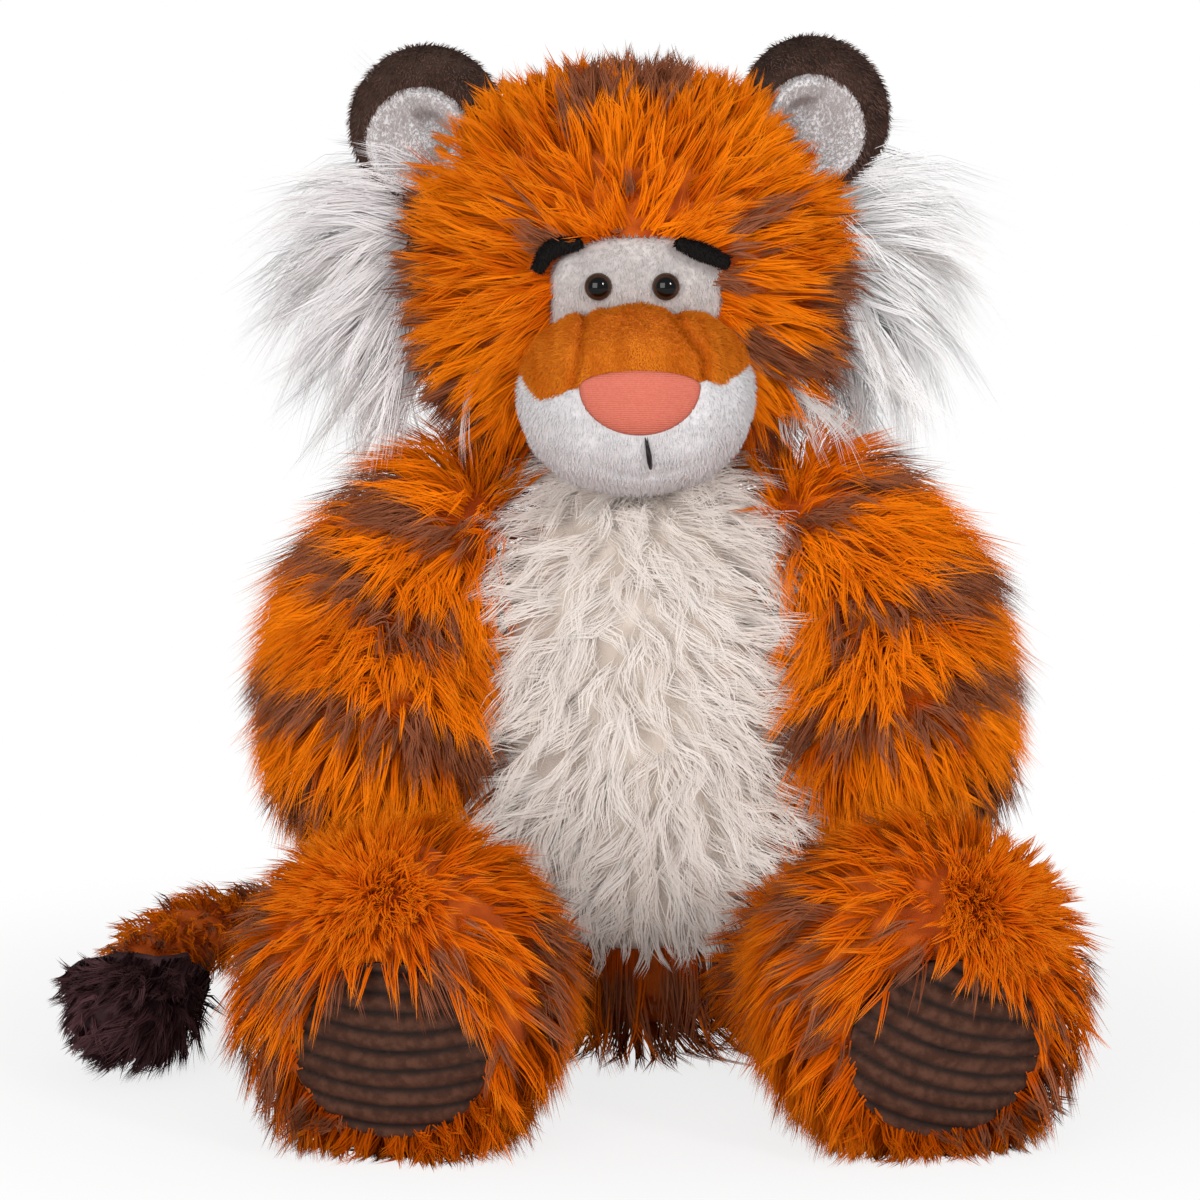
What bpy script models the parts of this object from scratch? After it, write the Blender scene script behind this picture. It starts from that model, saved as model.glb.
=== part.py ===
"""Sitting plush tiger, 0.45 m tall, with its covers, stuffing, face and sewn joints.

The toy looks along -Y and its own left is +X. The origin is on the floor,
in the middle of the flat that the torso sits on. Lengths are in metres.
Covers are shells of backing cloth with half of the pile's depth, so that their
outer faces lie about half way up the fur. Each shell is open where it is sewn
to the next one, and loose stuffing fills it.
"""

import math

import bmesh
import bpy
import numpy as np
from mathutils import Matrix, Vector

for old in list(bpy.data.objects):
    bpy.data.objects.remove(old)

# Driving dimensions
SEAM_GAP = 0.0004  # between pieces that are sewn or laid against each other
HEAD_GAP = 0.0006  # under the head, which turns on the neck
LONG_WALL = 0.010  # backing cloth and half of a long pile
SHORT_WALL = 0.004  # backing cloth and a short pile
REST_CUT = 0.0005  # how far the underside is pressed flat by the floor

TORSO_HEIGHT = 0.256
TORSO_WIDTH = 0.192
TORSO_DEPTH = 0.184
TORSO_SQUARENESS = 2.7
BELLY_WIDTH = 0.128
BELLY_HEIGHT = 0.216
BELLY_TOP = TORSO_HEIGHT * 1.04  # it runs up under the chin
BELLY_MIDDLE = BELLY_TOP - BELLY_HEIGHT / 2
BELLY_SQUARENESS = 2.4

HEAD_RADIUS = 0.095
HEAD_HALF_HEIGHT = 0.086
HEAD_YAW = math.radians(3)
HEAD_SQUARENESS = 2.3
HEAD_X = -0.005  # the head sits a little to the toy's right
HEAD_Y = 0.016
NECK_RISE = 0.003  # from the torso's last ring to the head's underside
HEAD_Z = TORSO_HEIGHT + NECK_RISE + HEAD_HALF_HEIGHT
NECK_RADIUS = 0.032

ARM_PIVOT_X = TORSO_WIDTH * 0.3
ARM_PIVOT_Y = TORSO_DEPTH * 0.05
ARM_PIVOT_Z = TORSO_HEIGHT * 0.93
ARM_OUT = 0.055  # from the shoulder seam to the paw's middle, sideways
ARM_FORWARD = 0.062
ARM_DOWN = 0.096
ARM_WIDTH = 0.094
ARM_END = 0.043  # from the paw's middle to its tip
ARM_SQUARENESS = 2.2
ARM_RAISE = math.radians(40)  # how far the arm lifts sideways from rest

LEG_LENGTH = 0.234  # from the hip seam to the middle of the foot
LEG_WIDTH = 0.090
LEG_ROOT_X = TORSO_WIDTH * 0.34
LEG_ROOT_Y = -TORSO_DEPTH * 0.05
LEG_PIVOT_X = TORSO_WIDTH / 2
LEG_PIVOT_Y = LEG_ROOT_Y + LEG_WIDTH / 3  # the back end of the hip seam
FOOT_WIDTH = 0.130
FOOT_HEIGHT = 0.134
FOOT_END = 0.028  # from the foot's middle to its sole
LEG_SQUARENESS = 2.4
RIGHT_SPLAY = math.radians(7.8)
LEFT_SPLAY = math.radians(12.5)
RIGHT_ROLL = math.radians(3)  # how far each pad is turned outwards on its sole
LEFT_ROLL = math.radians(18)
PAD_WIDTH = 0.081
PAD_HEIGHT = 0.075
PAD_BELOW = 0.0205  # how far the pad's middle lies under the foot's
PAD_DEPTH = 0.004  # how far the pad lies under the middle of the pile
PAD_SQUARENESS = 2.2

TAIL_WIDTH = 0.042
TAIL_ROOT_X = 0.012
TAIL_PIVOT_X = TAIL_ROOT_X + TAIL_WIDTH * 0.56  # the left end of the tail's seam
TAIL_PIVOT_Y = TORSO_DEPTH / 2
TAIL_PIVOT_Z = TAIL_WIDTH * 0.86
TAIL_SWEEP_X = 0.232  # from the tail's base to its end, across
TAIL_SWEEP_Y = 0.170  # and forwards
TUFT_LENGTH = 0.092
TUFT_WIDTH = 0.064
TUFT_HEIGHT = 0.054

MUZZLE_WIDTH = 0.100
MUZZLE_HEIGHT = 0.082
MUZZLE_DEPTH = 0.096
MUZZLE_BELOW = 0.052  # its middle under the head's middle
MUZZLE_FORWARD = 0.073  # its middle before the head's middle
MUZZLE_SQUARENESS = 2.1
MUZZLE_SEAM_RISE = 0.006  # where the short brown pile meets the white, over its middle
BRIDGE_TOP_WIDTH = 0.036
BRIDGE_BOTTOM_WIDTH = 0.056
NOSE_WIDTH = 0.052
NOSE_HEIGHT = 0.029
NOSE_ARCH = 0.38  # share of its height over its widest place
NOSE_RISE = 0.012  # the nose's top edge over the muzzle's middle
NOSE_THICKNESS = 0.0045
MOUTH_LENGTH = 0.014
THREAD_RADIUS = 0.0009

PATCH_WIDTH = 0.074
PATCH_RISE = 0.016  # top of the eye patch over the head's middle
PATCH_DEPTH = 0.003  # under the middle of the long pile round it
EYE_DIAMETER = 0.012
EYE_DOME = 0.0046
EYE_SPACING = 0.0286
EYES_ASIDE = -0.0026  # the eyes and brows sit a little to the toy's right
EYE_BELOW = 0.006
POST_DIAMETER = 0.0036
POST_LENGTH = 0.013
WASHER_DIAMETER = 0.013
WASHER_THICKNESS = 0.0014
BROW_WIDTH = 0.0070
BROW_LENGTH = 0.020
BROW_START = 0.021  # from the middle of the face to the brow's inner end
BROW_RISE = 0.012
BROW_DROP = 0.010

EAR_RADIUS = 0.036
EAR_DEPTH = 0.020
RIGHT_EAR_OUT = HEAD_RADIUS * 0.935  # the ears are sewn on by hand, not quite alike
RIGHT_EAR_RISE = HEAD_HALF_HEIGHT * 0.735
LEFT_EAR_OUT = HEAD_RADIUS * 0.885
LEFT_EAR_RISE = HEAD_HALF_HEIGHT * 0.785
EAR_LEAN = math.radians(12)
LINING_RADIUS = 0.0255
LINING_THICKNESS = 0.003

RUFF_LENGTH = 0.074
RUFF_THICKNESS = 0.032
RUFF_TAPER = 0.35  # share of its thickness that a ruff loses at its ends
RUFF_OUT = HEAD_RADIUS * 1.085
RUFF_BACK = HEAD_RADIUS * 0.2

# How fine the round forms are
BODY_SIDES = 24
LIMB_SIDES = 16
SMALL_SIDES = 12
CAP_ANGLES = (10, 34, 60)  # degrees, of the rings on a rounded end, from its tip
OVERRUN = 0.02  # how far a cutter runs past what it cuts

ORANGE = (0.67, 0.145, 0.005)
BROWN_ORANGE = (0.51, 0.12, 0.012)
CREAM = (0.76, 0.68, 0.61)
WHITE = (0.76, 0.73, 0.74)
DARK_BROWN = (0.07, 0.038, 0.025)
PLUM_BROWN = (0.048, 0.022, 0.025)
SALMON = (0.80, 0.22, 0.15)
STUFFING_WHITE = (0.80, 0.80, 0.78)


def finish(name, colour, roughness):
    """A matt or glossy material with one colour."""
    found = bpy.data.materials.new(name)
    found.use_nodes = True
    surface = found.node_tree.nodes["Principled BSDF"]
    surface.inputs["Base Color"].default_value = (*colour, 1)
    surface.inputs["Roughness"].default_value = roughness
    surface.inputs["Metallic"].default_value = 0
    return found


def piece(name, shape, colour, roughness=0.9, parent=None, smooth=True):
    """An object of the model, made from a bmesh, under the empty that carries it."""
    mesh = bpy.data.meshes.new(name)
    shape.to_mesh(mesh)
    shape.free()
    if smooth:
        mesh.shade_smooth()
        mesh.set_sharp_from_angle(angle=math.radians(50))
    mesh.materials.append(finish(name + "_finish", colour, roughness))
    made = bpy.data.objects.new(name, mesh)
    bpy.context.collection.objects.link(made)
    made.parent = parent
    return made


def cutter(name, shape, parent=None):
    """A helper solid that other pieces are cut by."""
    made = piece(name, shape, CREAM, parent=parent, smooth=False)
    made.hide_render = True
    made.display_type = "WIRE"
    return made


def carrier(name, place, turn=0):
    """An empty on a joint's axis, turned about the vertical."""
    made = bpy.data.objects.new(name, None)
    made.location = place
    made.rotation_euler = (0, 0, turn)
    bpy.context.collection.objects.link(made)
    return made


def boolean(target, tool, operation="DIFFERENCE"):
    """Cuts target by tool, or keeps what they share."""
    step = target.modifiers.new(operation.lower() + "_" + tool.name, "BOOLEAN")
    step.operation = operation
    step.object = tool


def cutter_for_raised(name, tool, pivot, angle):
    """A cutter's copy, placed as a limb finds it once the limb has turned about Y."""
    made = tool.copy()
    made.name = name
    made.parent = None
    place = tool.parent.matrix_basis if tool.parent else Matrix()
    there = Matrix.Translation(pivot)
    turn = Matrix.Rotation(angle, 4, "Y")
    made.matrix_basis = there @ turn @ there.inverted() @ place
    bpy.context.collection.objects.link(made)
    return made


def smooth_rows(rows, steps):
    """Rows read from one smooth curve through the given rows."""
    rows = np.array(rows, float)
    around = np.vstack([2 * rows[0] - rows[1], rows, 2 * rows[-1] - rows[-2]])
    found = []
    for k in range(len(rows) - 1):
        before, start, end, after = around[k : k + 4]
        for t in np.arange(steps) / steps:
            bend = (2 * before - 5 * start + 4 * end - after) * t**2
            twist = (3 * start - before - 3 * end + after) * t**3
            found.append((2 * start + (end - before) * t + bend + twist) / 2)
    found.append(rows[-1])
    return np.array(found)


def cap_shares(squareness):
    """(distance from the tip, width) of a rounded end's rings, as shares, tip first."""
    power = 2 / squareness
    angles = [math.radians(degrees) for degrees in CAP_ANGLES]
    return [(1 - math.cos(a) ** power, math.sin(a) ** power) for a in angles]


def loft(rings, first_tip, last_tip):
    """A closed solid over rings of points, with a tip at each end."""
    shape = bmesh.new()
    made = [[shape.verts.new(p) for p in ring] for ring in rings]
    for one, two in zip(made, made[1:]):
        for k in range(len(one)):
            shape.faces.new((one[k - 1], one[k], two[k], two[k - 1]))
    for ring, tip in ((made[0], first_tip), (made[-1], last_tip)):
        point = shape.verts.new(tip)
        for k in range(len(ring)):
            shape.faces.new((ring[k - 1], ring[k], point))
    bmesh.ops.recalc_face_normals(shape, faces=shape.faces)
    return shape


def stuffed(path, side, caps, squareness, sides, steps, grow=0.0):
    """A stuffed form along a path of (x, y, z, half width, half depth) rows.

    side is the direction of its width, caps are the lengths of its rounded ends,
    and grow makes it that much fatter all round.
    """
    rows = smooth_rows(path, steps)
    centres = rows[:, :3]
    halves = rows[:, 3:] + grow
    along = np.gradient(centres, axis=0)
    along /= np.linalg.norm(along, axis=1)[:, None]
    across = np.array(side, float) - along * (along @ np.array(side, float))[:, None]
    across /= np.linalg.norm(across, axis=1)[:, None]
    upward = np.cross(along, across)
    turns = 2 * math.pi * (np.arange(sides) + 0.5) / sides

    def ring(k, shift, share):
        width, depth = halves[k] * share
        middle = centres[k] + along[k] * shift
        wide = np.outer(np.cos(turns) * width, across[k])
        deep = np.outer(np.sin(turns) * depth, upward[k])
        return middle + wide + deep

    first, last = caps[0] + grow, caps[1] + grow
    ends = cap_shares(squareness)
    rings = [ring(0, -first * (1 - reach), share) for reach, share in ends]
    rings += [ring(k, 0.0, 1.0) for k in range(len(rows))]
    rings += [ring(-1, last * (1 - reach), share) for reach, share in reversed(ends)]
    return loft(rings, centres[0] - along[0] * first, centres[-1] + along[-1] * last)


def shell(form, outer, inner):
    """A form's cover: form(outer) with form(inner) taken out of it."""
    cover = form(outer)
    hollow = form(inner)
    bmesh.ops.reverse_faces(hollow, faces=hollow.faces)
    inside = bpy.data.meshes.new("inside")
    hollow.to_mesh(inside)
    hollow.free()
    cover.from_mesh(inside)
    bpy.data.meshes.remove(inside)
    return cover


def block(low, high):
    """A box between two corners."""
    shape = bmesh.new()
    bmesh.ops.create_cube(shape, size=1)
    size = Vector(high) - Vector(low)
    bmesh.ops.scale(shape, vec=size, verts=shape.verts)
    bmesh.ops.translate(shape, vec=(Vector(low) + Vector(high)) / 2, verts=shape.verts)
    return shape


def prism(outline, back, front):
    """A solid with an (x, z) outline, from y = back forwards to y = front."""
    shape = bmesh.new()
    face = shape.faces.new([shape.verts.new((x, back, z)) for x, z in outline])
    made = bmesh.ops.extrude_face_region(shape, geom=[face])
    moved = [v for v in made["geom"] if isinstance(v, bmesh.types.BMVert)]
    bmesh.ops.translate(shape, vec=(0, front - back, 0), verts=moved)
    bmesh.ops.recalc_face_normals(shape, faces=shape.faces)
    return shape


def oval(half_width, half_height, middle_x, middle_z, squareness, count):
    """Points of a rounded outline."""
    found = []
    for k in range(count):
        angle = 2 * math.pi * (k + 0.5) / count
        c, s = math.cos(angle), math.sin(angle)
        x = math.copysign(abs(c) ** (2 / squareness), c) * half_width
        z = math.copysign(abs(s) ** (2 / squareness), s) * half_height
        found.append((middle_x + x, middle_z + z))
    return found


def turned(profile, sides):
    """A solid turned about Y from (y, radius) points, whose ends lie on the axis."""
    turns = [2 * math.pi * (k + 0.5) / sides for k in range(sides)]
    rings = [
        [(r * math.cos(t), y, r * math.sin(t)) for t in turns] for y, r in profile[1:-1]
    ]
    return loft(rings, (0, profile[0][0], 0), (0, profile[-1][0], 0))


def tube_points(points, radii, sides):
    """A tapered cord with round ends over the points, each with its own radius."""
    path = [(*p, r, r) for p, r in zip(points, radii)]
    return stuffed(path, (0, 1, 0.1), (radii[0], radii[-1]), 2, sides, 1)


# Cutters that more than one piece shares
FLOOR_REACH = TORSO_HEIGHT + TORSO_WIDTH
floor_block = cutter(
    "floor_block",
    block((-FLOOR_REACH, -FLOOR_REACH, -OVERRUN), (FLOOR_REACH, FLOOR_REACH, 0)),
)

# Torso: a pear of fur fabric that sits on its broad base, widest low down
# Rows are height, width, depth and place along Y, as shares of the torso's sizes.
TORSO_SHARES = (
    (0.240, 0.985, 0.985, 0.00),
    (0.340, 1.000, 1.000, 0.00),
    (0.530, 0.915, 0.940, 0.02),
    (0.740, 0.745, 0.800, 0.05),
    (0.900, 0.590, 0.612, 0.075),
    (1.000, 0.430, 0.430, 0.09),
)


def torso_form(grow=0.0):
    path = [
        (
            0,
            y * TORSO_DEPTH,
            z * TORSO_HEIGHT,
            w * TORSO_WIDTH / 2,
            d * TORSO_DEPTH / 2,
        )
        for z, w, d, y in TORSO_SHARES
    ]
    seat = path[0][2] + REST_CUT
    top = TORSO_HEIGHT * 0.07
    return stuffed(
        path, (1, 0, 0), (seat, top), TORSO_SQUARENESS, BODY_SIDES, 1, grow
    )


def head_radius(height, grow=0.0):
    """The head's radius at a height over its middle."""
    n = HEAD_SQUARENESS
    share = abs(height) / (HEAD_HALF_HEIGHT + grow)
    return (HEAD_RADIUS + grow) * (1 - share**n) ** (1 / n)


def head_form(grow=0.0):
    """The head is turned about the vertical, so that it can turn on the neck."""
    half_band = HEAD_HALF_HEIGHT * 0.08
    path = [(0, 0, z, HEAD_RADIUS, HEAD_RADIUS) for z in (-half_band, half_band)]
    cap = HEAD_HALF_HEIGHT - half_band
    return stuffed(path, (1, 0, 0), (cap, cap), HEAD_SQUARENESS, BODY_SIDES, 1, grow)


head = carrier("head_pose", (HEAD_X, HEAD_Y, HEAD_Z), HEAD_YAW)
head_seat_cutter = cutter("head_seat_cutter", head_form(HEAD_GAP), head)
torso_cutter = cutter("torso_cutter", torso_form(SEAM_GAP))


def belly_outline(grow):
    half_width = BELLY_WIDTH / 2 + grow
    half_height = BELLY_HEIGHT / 2 + grow
    return oval(half_width, half_height, 0, BELLY_MIDDLE, BELLY_SQUARENESS, 28)


belly_hole = cutter("belly_hole", prism(belly_outline(SEAM_GAP), 0, -TORSO_DEPTH))
belly_window = cutter("belly_window", prism(belly_outline(0), -SEAM_GAP, -TORSO_DEPTH))

torso_cover = piece("torso_cover", shell(torso_form, 0, -LONG_WALL), ORANGE)
boolean(torso_cover, belly_hole)
boolean(torso_cover, head_seat_cutter)
boolean(torso_cover, floor_block)

belly_panel = piece("belly_panel", shell(torso_form, 0, -LONG_WALL), CREAM)
boolean(belly_panel, belly_window, "INTERSECT")
boolean(belly_panel, head_seat_cutter)

torso_stuffing = piece(
    "torso_stuffing", torso_form(-LONG_WALL - SEAM_GAP), STUFFING_WHITE
)
boolean(torso_stuffing, head_seat_cutter)

# Head: one round cover, open under the neck and at the eye patch
PATCH_BOTTOM = -MUZZLE_BELOW + MUZZLE_HEIGHT / 4


def patch_outline(grow):
    """An arch over the muzzle."""
    half = PATCH_WIDTH / 2 + grow
    arch = [
        (-half * math.cos(a), (PATCH_RISE + grow) * math.sin(a))
        for a in np.linspace(0, math.pi, 13)
    ]
    return [*arch, (half, PATCH_BOTTOM - grow), (-half, PATCH_BOTTOM - grow)]


patch_back = -HEAD_RADIUS / 2
patch_front = -HEAD_RADIUS - OVERRUN
patch_hole = cutter(
    "patch_hole", prism(patch_outline(SEAM_GAP), patch_back, patch_front), head
)
patch_window = cutter(
    "patch_window", prism(patch_outline(0), patch_back, patch_front), head
)
neck_hole = cutter(
    "neck_hole",
    prism(oval(NECK_RADIUS, NECK_RADIUS, 0, 0, 2, BODY_SIDES), 0, HEAD_RADIUS),
    head,
)
neck_hole.rotation_euler = (-math.pi / 2, 0, 0)

head_cover = piece("head_cover", shell(head_form, 0, -LONG_WALL), ORANGE, parent=head)
boolean(head_cover, patch_hole)
boolean(head_cover, neck_hole)

head_stuffing = piece(
    "head_stuffing", head_form(-LONG_WALL - SEAM_GAP), STUFFING_WHITE, parent=head
)

eye_patch = piece(
    "eye_patch", shell(head_form, -PATCH_DEPTH, -LONG_WALL), WHITE, parent=head
)
boolean(eye_patch, patch_window, "INTERSECT")


# Muzzle: four panels sewn over their own stuffing, on the front of the head
def muzzle_form(grow=0.0):
    half_band = MUZZLE_WIDTH * 0.06
    depth, height = MUZZLE_DEPTH / 2, MUZZLE_HEIGHT / 2
    path = [
        (x, -MUZZLE_FORWARD, -MUZZLE_BELOW, depth, height)
        for x in (-half_band, half_band)
    ]
    cap = MUZZLE_WIDTH / 2 - half_band
    return stuffed(
        path, (0, 1, 0), (cap, cap), MUZZLE_SQUARENESS, LIMB_SIDES, 1, grow
    )


def muzzle_front(x, z, grow=0.0):
    """How far before the head's middle the muzzle's skin lies, at a place in front view."""
    sides = abs(x) / (MUZZLE_WIDTH / 2 + grow)
    rise = abs(z + MUZZLE_BELOW) / (MUZZLE_HEIGHT / 2 + grow)
    share = math.sqrt(max(1 - sides**2 - rise**2, 0))
    return -MUZZLE_FORWARD - (MUZZLE_DEPTH / 2 + grow) * share


head_cutter = cutter("head_cutter", head_form(SEAM_GAP), head)
seam_z = -MUZZLE_BELOW + MUZZLE_SEAM_RISE
muzzle_top = -MUZZLE_BELOW + MUZZLE_HEIGHT / 2 + OVERRUN
muzzle_bottom = -MUZZLE_BELOW - MUZZLE_HEIGHT / 2 - OVERRUN
muzzle_side = MUZZLE_WIDTH / 2 + OVERRUN
muzzle_face = -MUZZLE_FORWARD - MUZZLE_DEPTH / 2 - OVERRUN
half_gap = SEAM_GAP / 2
seam_lean = (BRIDGE_BOTTOM_WIDTH - BRIDGE_TOP_WIDTH) / MUZZLE_HEIGHT
high_x = BRIDGE_TOP_WIDTH / 2 - seam_lean * OVERRUN / 2
low_x = high_x + seam_lean * (muzzle_top - seam_z)
MUZZLE_PANELS = {
    "muzzle_bridge": (
        BROWN_ORANGE,
        [
            (-high_x + half_gap, muzzle_top),
            (high_x - half_gap, muzzle_top),
            (low_x - half_gap, seam_z + half_gap),
            (-low_x + half_gap, seam_z + half_gap),
        ],
    ),
    "muzzle_right_top": (
        BROWN_ORANGE,
        [
            (-muzzle_side, muzzle_top),
            (-high_x - half_gap, muzzle_top),
            (-low_x - half_gap, seam_z + half_gap),
            (-muzzle_side, seam_z + half_gap),
        ],
    ),
    "muzzle_left_top": (
        BROWN_ORANGE,
        [
            (high_x + half_gap, muzzle_top),
            (muzzle_side, muzzle_top),
            (muzzle_side, seam_z + half_gap),
            (low_x + half_gap, seam_z + half_gap),
        ],
    ),
    "chin_panel": (
        WHITE,
        [
            (-muzzle_side, seam_z - half_gap),
            (muzzle_side, seam_z - half_gap),
            (muzzle_side, muzzle_bottom),
            (-muzzle_side, muzzle_bottom),
        ],
    ),
}
for panel_name, (panel_colour, panel_outline) in MUZZLE_PANELS.items():
    window = cutter(
        panel_name + "_window", prism(panel_outline, 0, muzzle_face), parent=head
    )
    panel = piece(
        panel_name, shell(muzzle_form, 0, -SHORT_WALL), panel_colour, parent=head
    )
    boolean(panel, window, "INTERSECT")
    boolean(panel, head_cutter)

muzzle_stuffing = piece(
    "muzzle_stuffing",
    muzzle_form(-SHORT_WALL - SEAM_GAP),
    STUFFING_WHITE,
    parent=head,
)
boolean(muzzle_stuffing, head_cutter)


# Nose: a knit patch with rounded corners, padded and sewn on the muzzle's front
def nose_outline():
    """A wide flat-topped shape whose sides run in to a round point."""
    found = []
    for k in range(20):
        angle = 2 * math.pi * (k + 0.5) / 20
        c, s = math.cos(angle), math.sin(angle)
        x = math.copysign(abs(c) ** 0.8, c)
        z = math.copysign(abs(s) ** 0.9, s)
        taper = 1 if z > 0 else 1 + 0.30 * z
        high = NOSE_ARCH if z > 0 else 1 - NOSE_ARCH
        place = -MUZZLE_BELOW + NOSE_RISE - NOSE_HEIGHT * (NOSE_ARCH - high * z)
        found.append((x * taper * NOSE_WIDTH / 2, place))
    return found


nose_window = cutter(
    "nose_window", prism(nose_outline(), -MUZZLE_FORWARD, muzzle_face), head
)
nose = piece(
    "nose", shell(muzzle_form, SEAM_GAP + NOSE_THICKNESS, SEAM_GAP), SALMON, parent=head
)
boolean(nose, nose_window, "INTERSECT")

# Mouth: one heavy stitch down from the nose's point
mouth_top = -MUZZLE_BELOW + NOSE_RISE - NOSE_HEIGHT - THREAD_RADIUS
thread_lift = SEAM_GAP + 2 * THREAD_RADIUS
mouth_heights = [mouth_top - MOUTH_LENGTH * k / 5 for k in range(6)]
mouth_places = [(0, muzzle_front(0, z, thread_lift), z) for z in mouth_heights]
piece(
    "mouth_stitch",
    tube_points(mouth_places, [THREAD_RADIUS] * 6, 8),
    DARK_BROWN,
    parent=head,
)

# Eyes: domed plastic on a post, which a washer holds inside the head
patch_surface = -PATCH_DEPTH
post_radius = POST_DIAMETER / 2
eye_radius = EYE_DIAMETER / 2
for side_name, sign in (("right", -1), ("left", 1)):
    eye_x = sign * EYE_SPACING / 2 + EYES_ASIDE
    ring_radius = head_radius(EYE_BELOW, patch_surface)
    eye_y = -math.sqrt(ring_radius**2 - (abs(eye_x) + eye_radius / 2) ** 2)
    seat = carrier(side_name + "_eye_seat", (eye_x, eye_y, -EYE_BELOW))
    seat.parent = head
    # The eye looks out square to the patch, a little to its own side.
    seat.rotation_euler = (0, 0, math.asin(eye_x / ring_radius))
    front = -SEAM_GAP - EYE_DIAMETER * 0.06
    dome = [
        (front - EYE_DOME * math.cos(a), eye_radius * math.sin(a))
        for a in np.linspace(0, math.pi / 2, 6)
    ]
    profile = [*dome, (front, post_radius), (POST_LENGTH, post_radius)]
    profile.append((POST_LENGTH, 0))
    piece(side_name + "_eye", turned(profile, SMALL_SIDES), DARK_BROWN, 0.12, seat)
    hole = [(front, 0), (front, post_radius + SEAM_GAP)]
    hole += [(POST_LENGTH + SEAM_GAP, post_radius + SEAM_GAP)]
    hole += [(POST_LENGTH + SEAM_GAP, 0)]
    post_hole = cutter(side_name + "_post_hole", turned(hole, SMALL_SIDES), seat)
    boolean(eye_patch, post_hole)
    boolean(head_stuffing, post_hole)
    # The washer is a flat ring on the post, in a pocket of the stuffing.
    washer_y = LONG_WALL - PATCH_DEPTH + EYE_DIAMETER * 0.12
    washer_radius = WASHER_DIAMETER / 2
    disc = [
        (washer_y, 0),
        (washer_y, washer_radius),
        (washer_y + WASHER_THICKNESS, washer_radius),
        (washer_y + WASHER_THICKNESS, 0),
    ]
    washer = piece(
        side_name + "_eye_washer", turned(disc, SMALL_SIDES), WHITE, 0.4, seat
    )
    boolean(washer, post_hole)
    pocket = [
        (0, 0),
        (0, washer_radius + SEAM_GAP),
        (washer_y + WASHER_THICKNESS + SEAM_GAP, washer_radius + SEAM_GAP),
        (washer_y + WASHER_THICKNESS + SEAM_GAP, 0),
    ]
    washer_pocket = cutter(
        side_name + "_washer_pocket", turned(pocket, SMALL_SIDES), seat
    )
    boolean(head_stuffing, washer_pocket)

# Brows: soft black rolls that droop outwards over the patch's corners
for side_name, sign in (("right", -1), ("left", 1)):
    places = []
    radii = []
    for share in np.linspace(0, 1, 5):
        x = sign * (BROW_START + BROW_LENGTH * share) + EYES_ASIDE
        z = BROW_RISE - BROW_DROP * share**1.5
        radius = BROW_WIDTH / 2 * (0.75 + 0.25 * share)
        reach = head_radius(z, SEAM_GAP * 2 + radius)
        places.append((x, -math.sqrt(reach**2 - x**2), z))
        radii.append(radius)
    piece(side_name + "_brow", tube_points(places, radii, 10), PLUM_BROWN, parent=head)

# Ears: a dish of dark plush with a rolled rim, and a white lining laid in it
# Rows are place along the ear's axis and radius, as shares of its depth and radius.
EAR_SHARES = (
    (0.50, 0.00),
    (0.46, 0.45),
    (0.28, 0.80),
    (0.00, 0.98),
    (-0.22, 1.00),
    (-0.42, 0.93),
    (-0.38, 0.80),
)


def ear_dish(depth_at_rim, radius, bottom):
    """The hollow front of an ear, from its edge to its middle."""
    angles = np.linspace(0, math.pi / 2, 4)
    return [
        (
            depth_at_rim + (bottom - depth_at_rim) * math.sin(a),
            radius * math.cos(a) ** 0.8 if a < math.pi / 2 else 0,
        )
        for a in angles
    ]


for side_name, sign, ear_out, ear_rise in (
    ("right", -1, RIGHT_EAR_OUT, RIGHT_EAR_RISE),
    ("left", 1, LEFT_EAR_OUT, LEFT_EAR_RISE),
):
    ear_seat = carrier(side_name + "_ear_seat", (sign * ear_out, 0, ear_rise))
    ear_seat.parent = head
    ear_seat.rotation_euler = (-EAR_LEAN, 0, sign * EAR_LEAN)
    dish_edge = -EAR_DEPTH * 0.30
    dish_bottom = EAR_DEPTH * 0.18
    back = [(y * EAR_DEPTH, r * EAR_RADIUS) for y, r in EAR_SHARES]
    dish = ear_dish(dish_edge, LINING_RADIUS + SEAM_GAP, dish_bottom)
    ear = piece(
        side_name + "_ear", turned(back + dish, LIMB_SIDES), DARK_BROWN, parent=ear_seat
    )
    boolean(ear, head_cutter)
    behind = ear_dish(dish_edge - SEAM_GAP, LINING_RADIUS, dish_bottom - SEAM_GAP)
    before = ear_dish(
        dish_edge - LINING_THICKNESS,
        LINING_RADIUS - LINING_THICKNESS / 2,
        dish_bottom - LINING_THICKNESS,
    )
    lining = piece(
        side_name + "_ear_lining",
        turned(behind[::-1] + before, LIMB_SIDES),
        WHITE,
        parent=ear_seat,
    )
    boolean(lining, head_cutter)

# Ruffs: a roll of long white hair behind each cheek
for side_name, sign in (("right", -1), ("left", 1)):
    places = []
    for share in np.linspace(-1, 1, 5):
        z = share * RUFF_LENGTH / 2
        out = RUFF_OUT - (RUFF_OUT - RUFF_THICKNESS) * 0.16 * share**2
        half = RUFF_THICKNESS / 2 * (1 - RUFF_TAPER * share**2)
        places.append((sign * out, RUFF_BACK, z, half, half * 1.2))
    ruff = piece(
        side_name + "_ruff",
        stuffed(places, (1, 0, 0), (half, half), 2, 14, 1),
        WHITE,
        parent=head,
    )
    boolean(ruff, head_cutter)

# Arms: short fat limbs that hang from the shoulder seams over the belly's sides
# Rows are how far out, forwards and down, and the width, as shares of the arm's sizes.
ARM_SHARES = (
    (0.48, 0.00, 0.19, 0.86),
    (0.80, 0.22, 0.45, 0.97),
    (0.98, 0.60, 0.76, 1.02),
    (1.00, 1.00, 1.00, 1.00),
)


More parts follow.
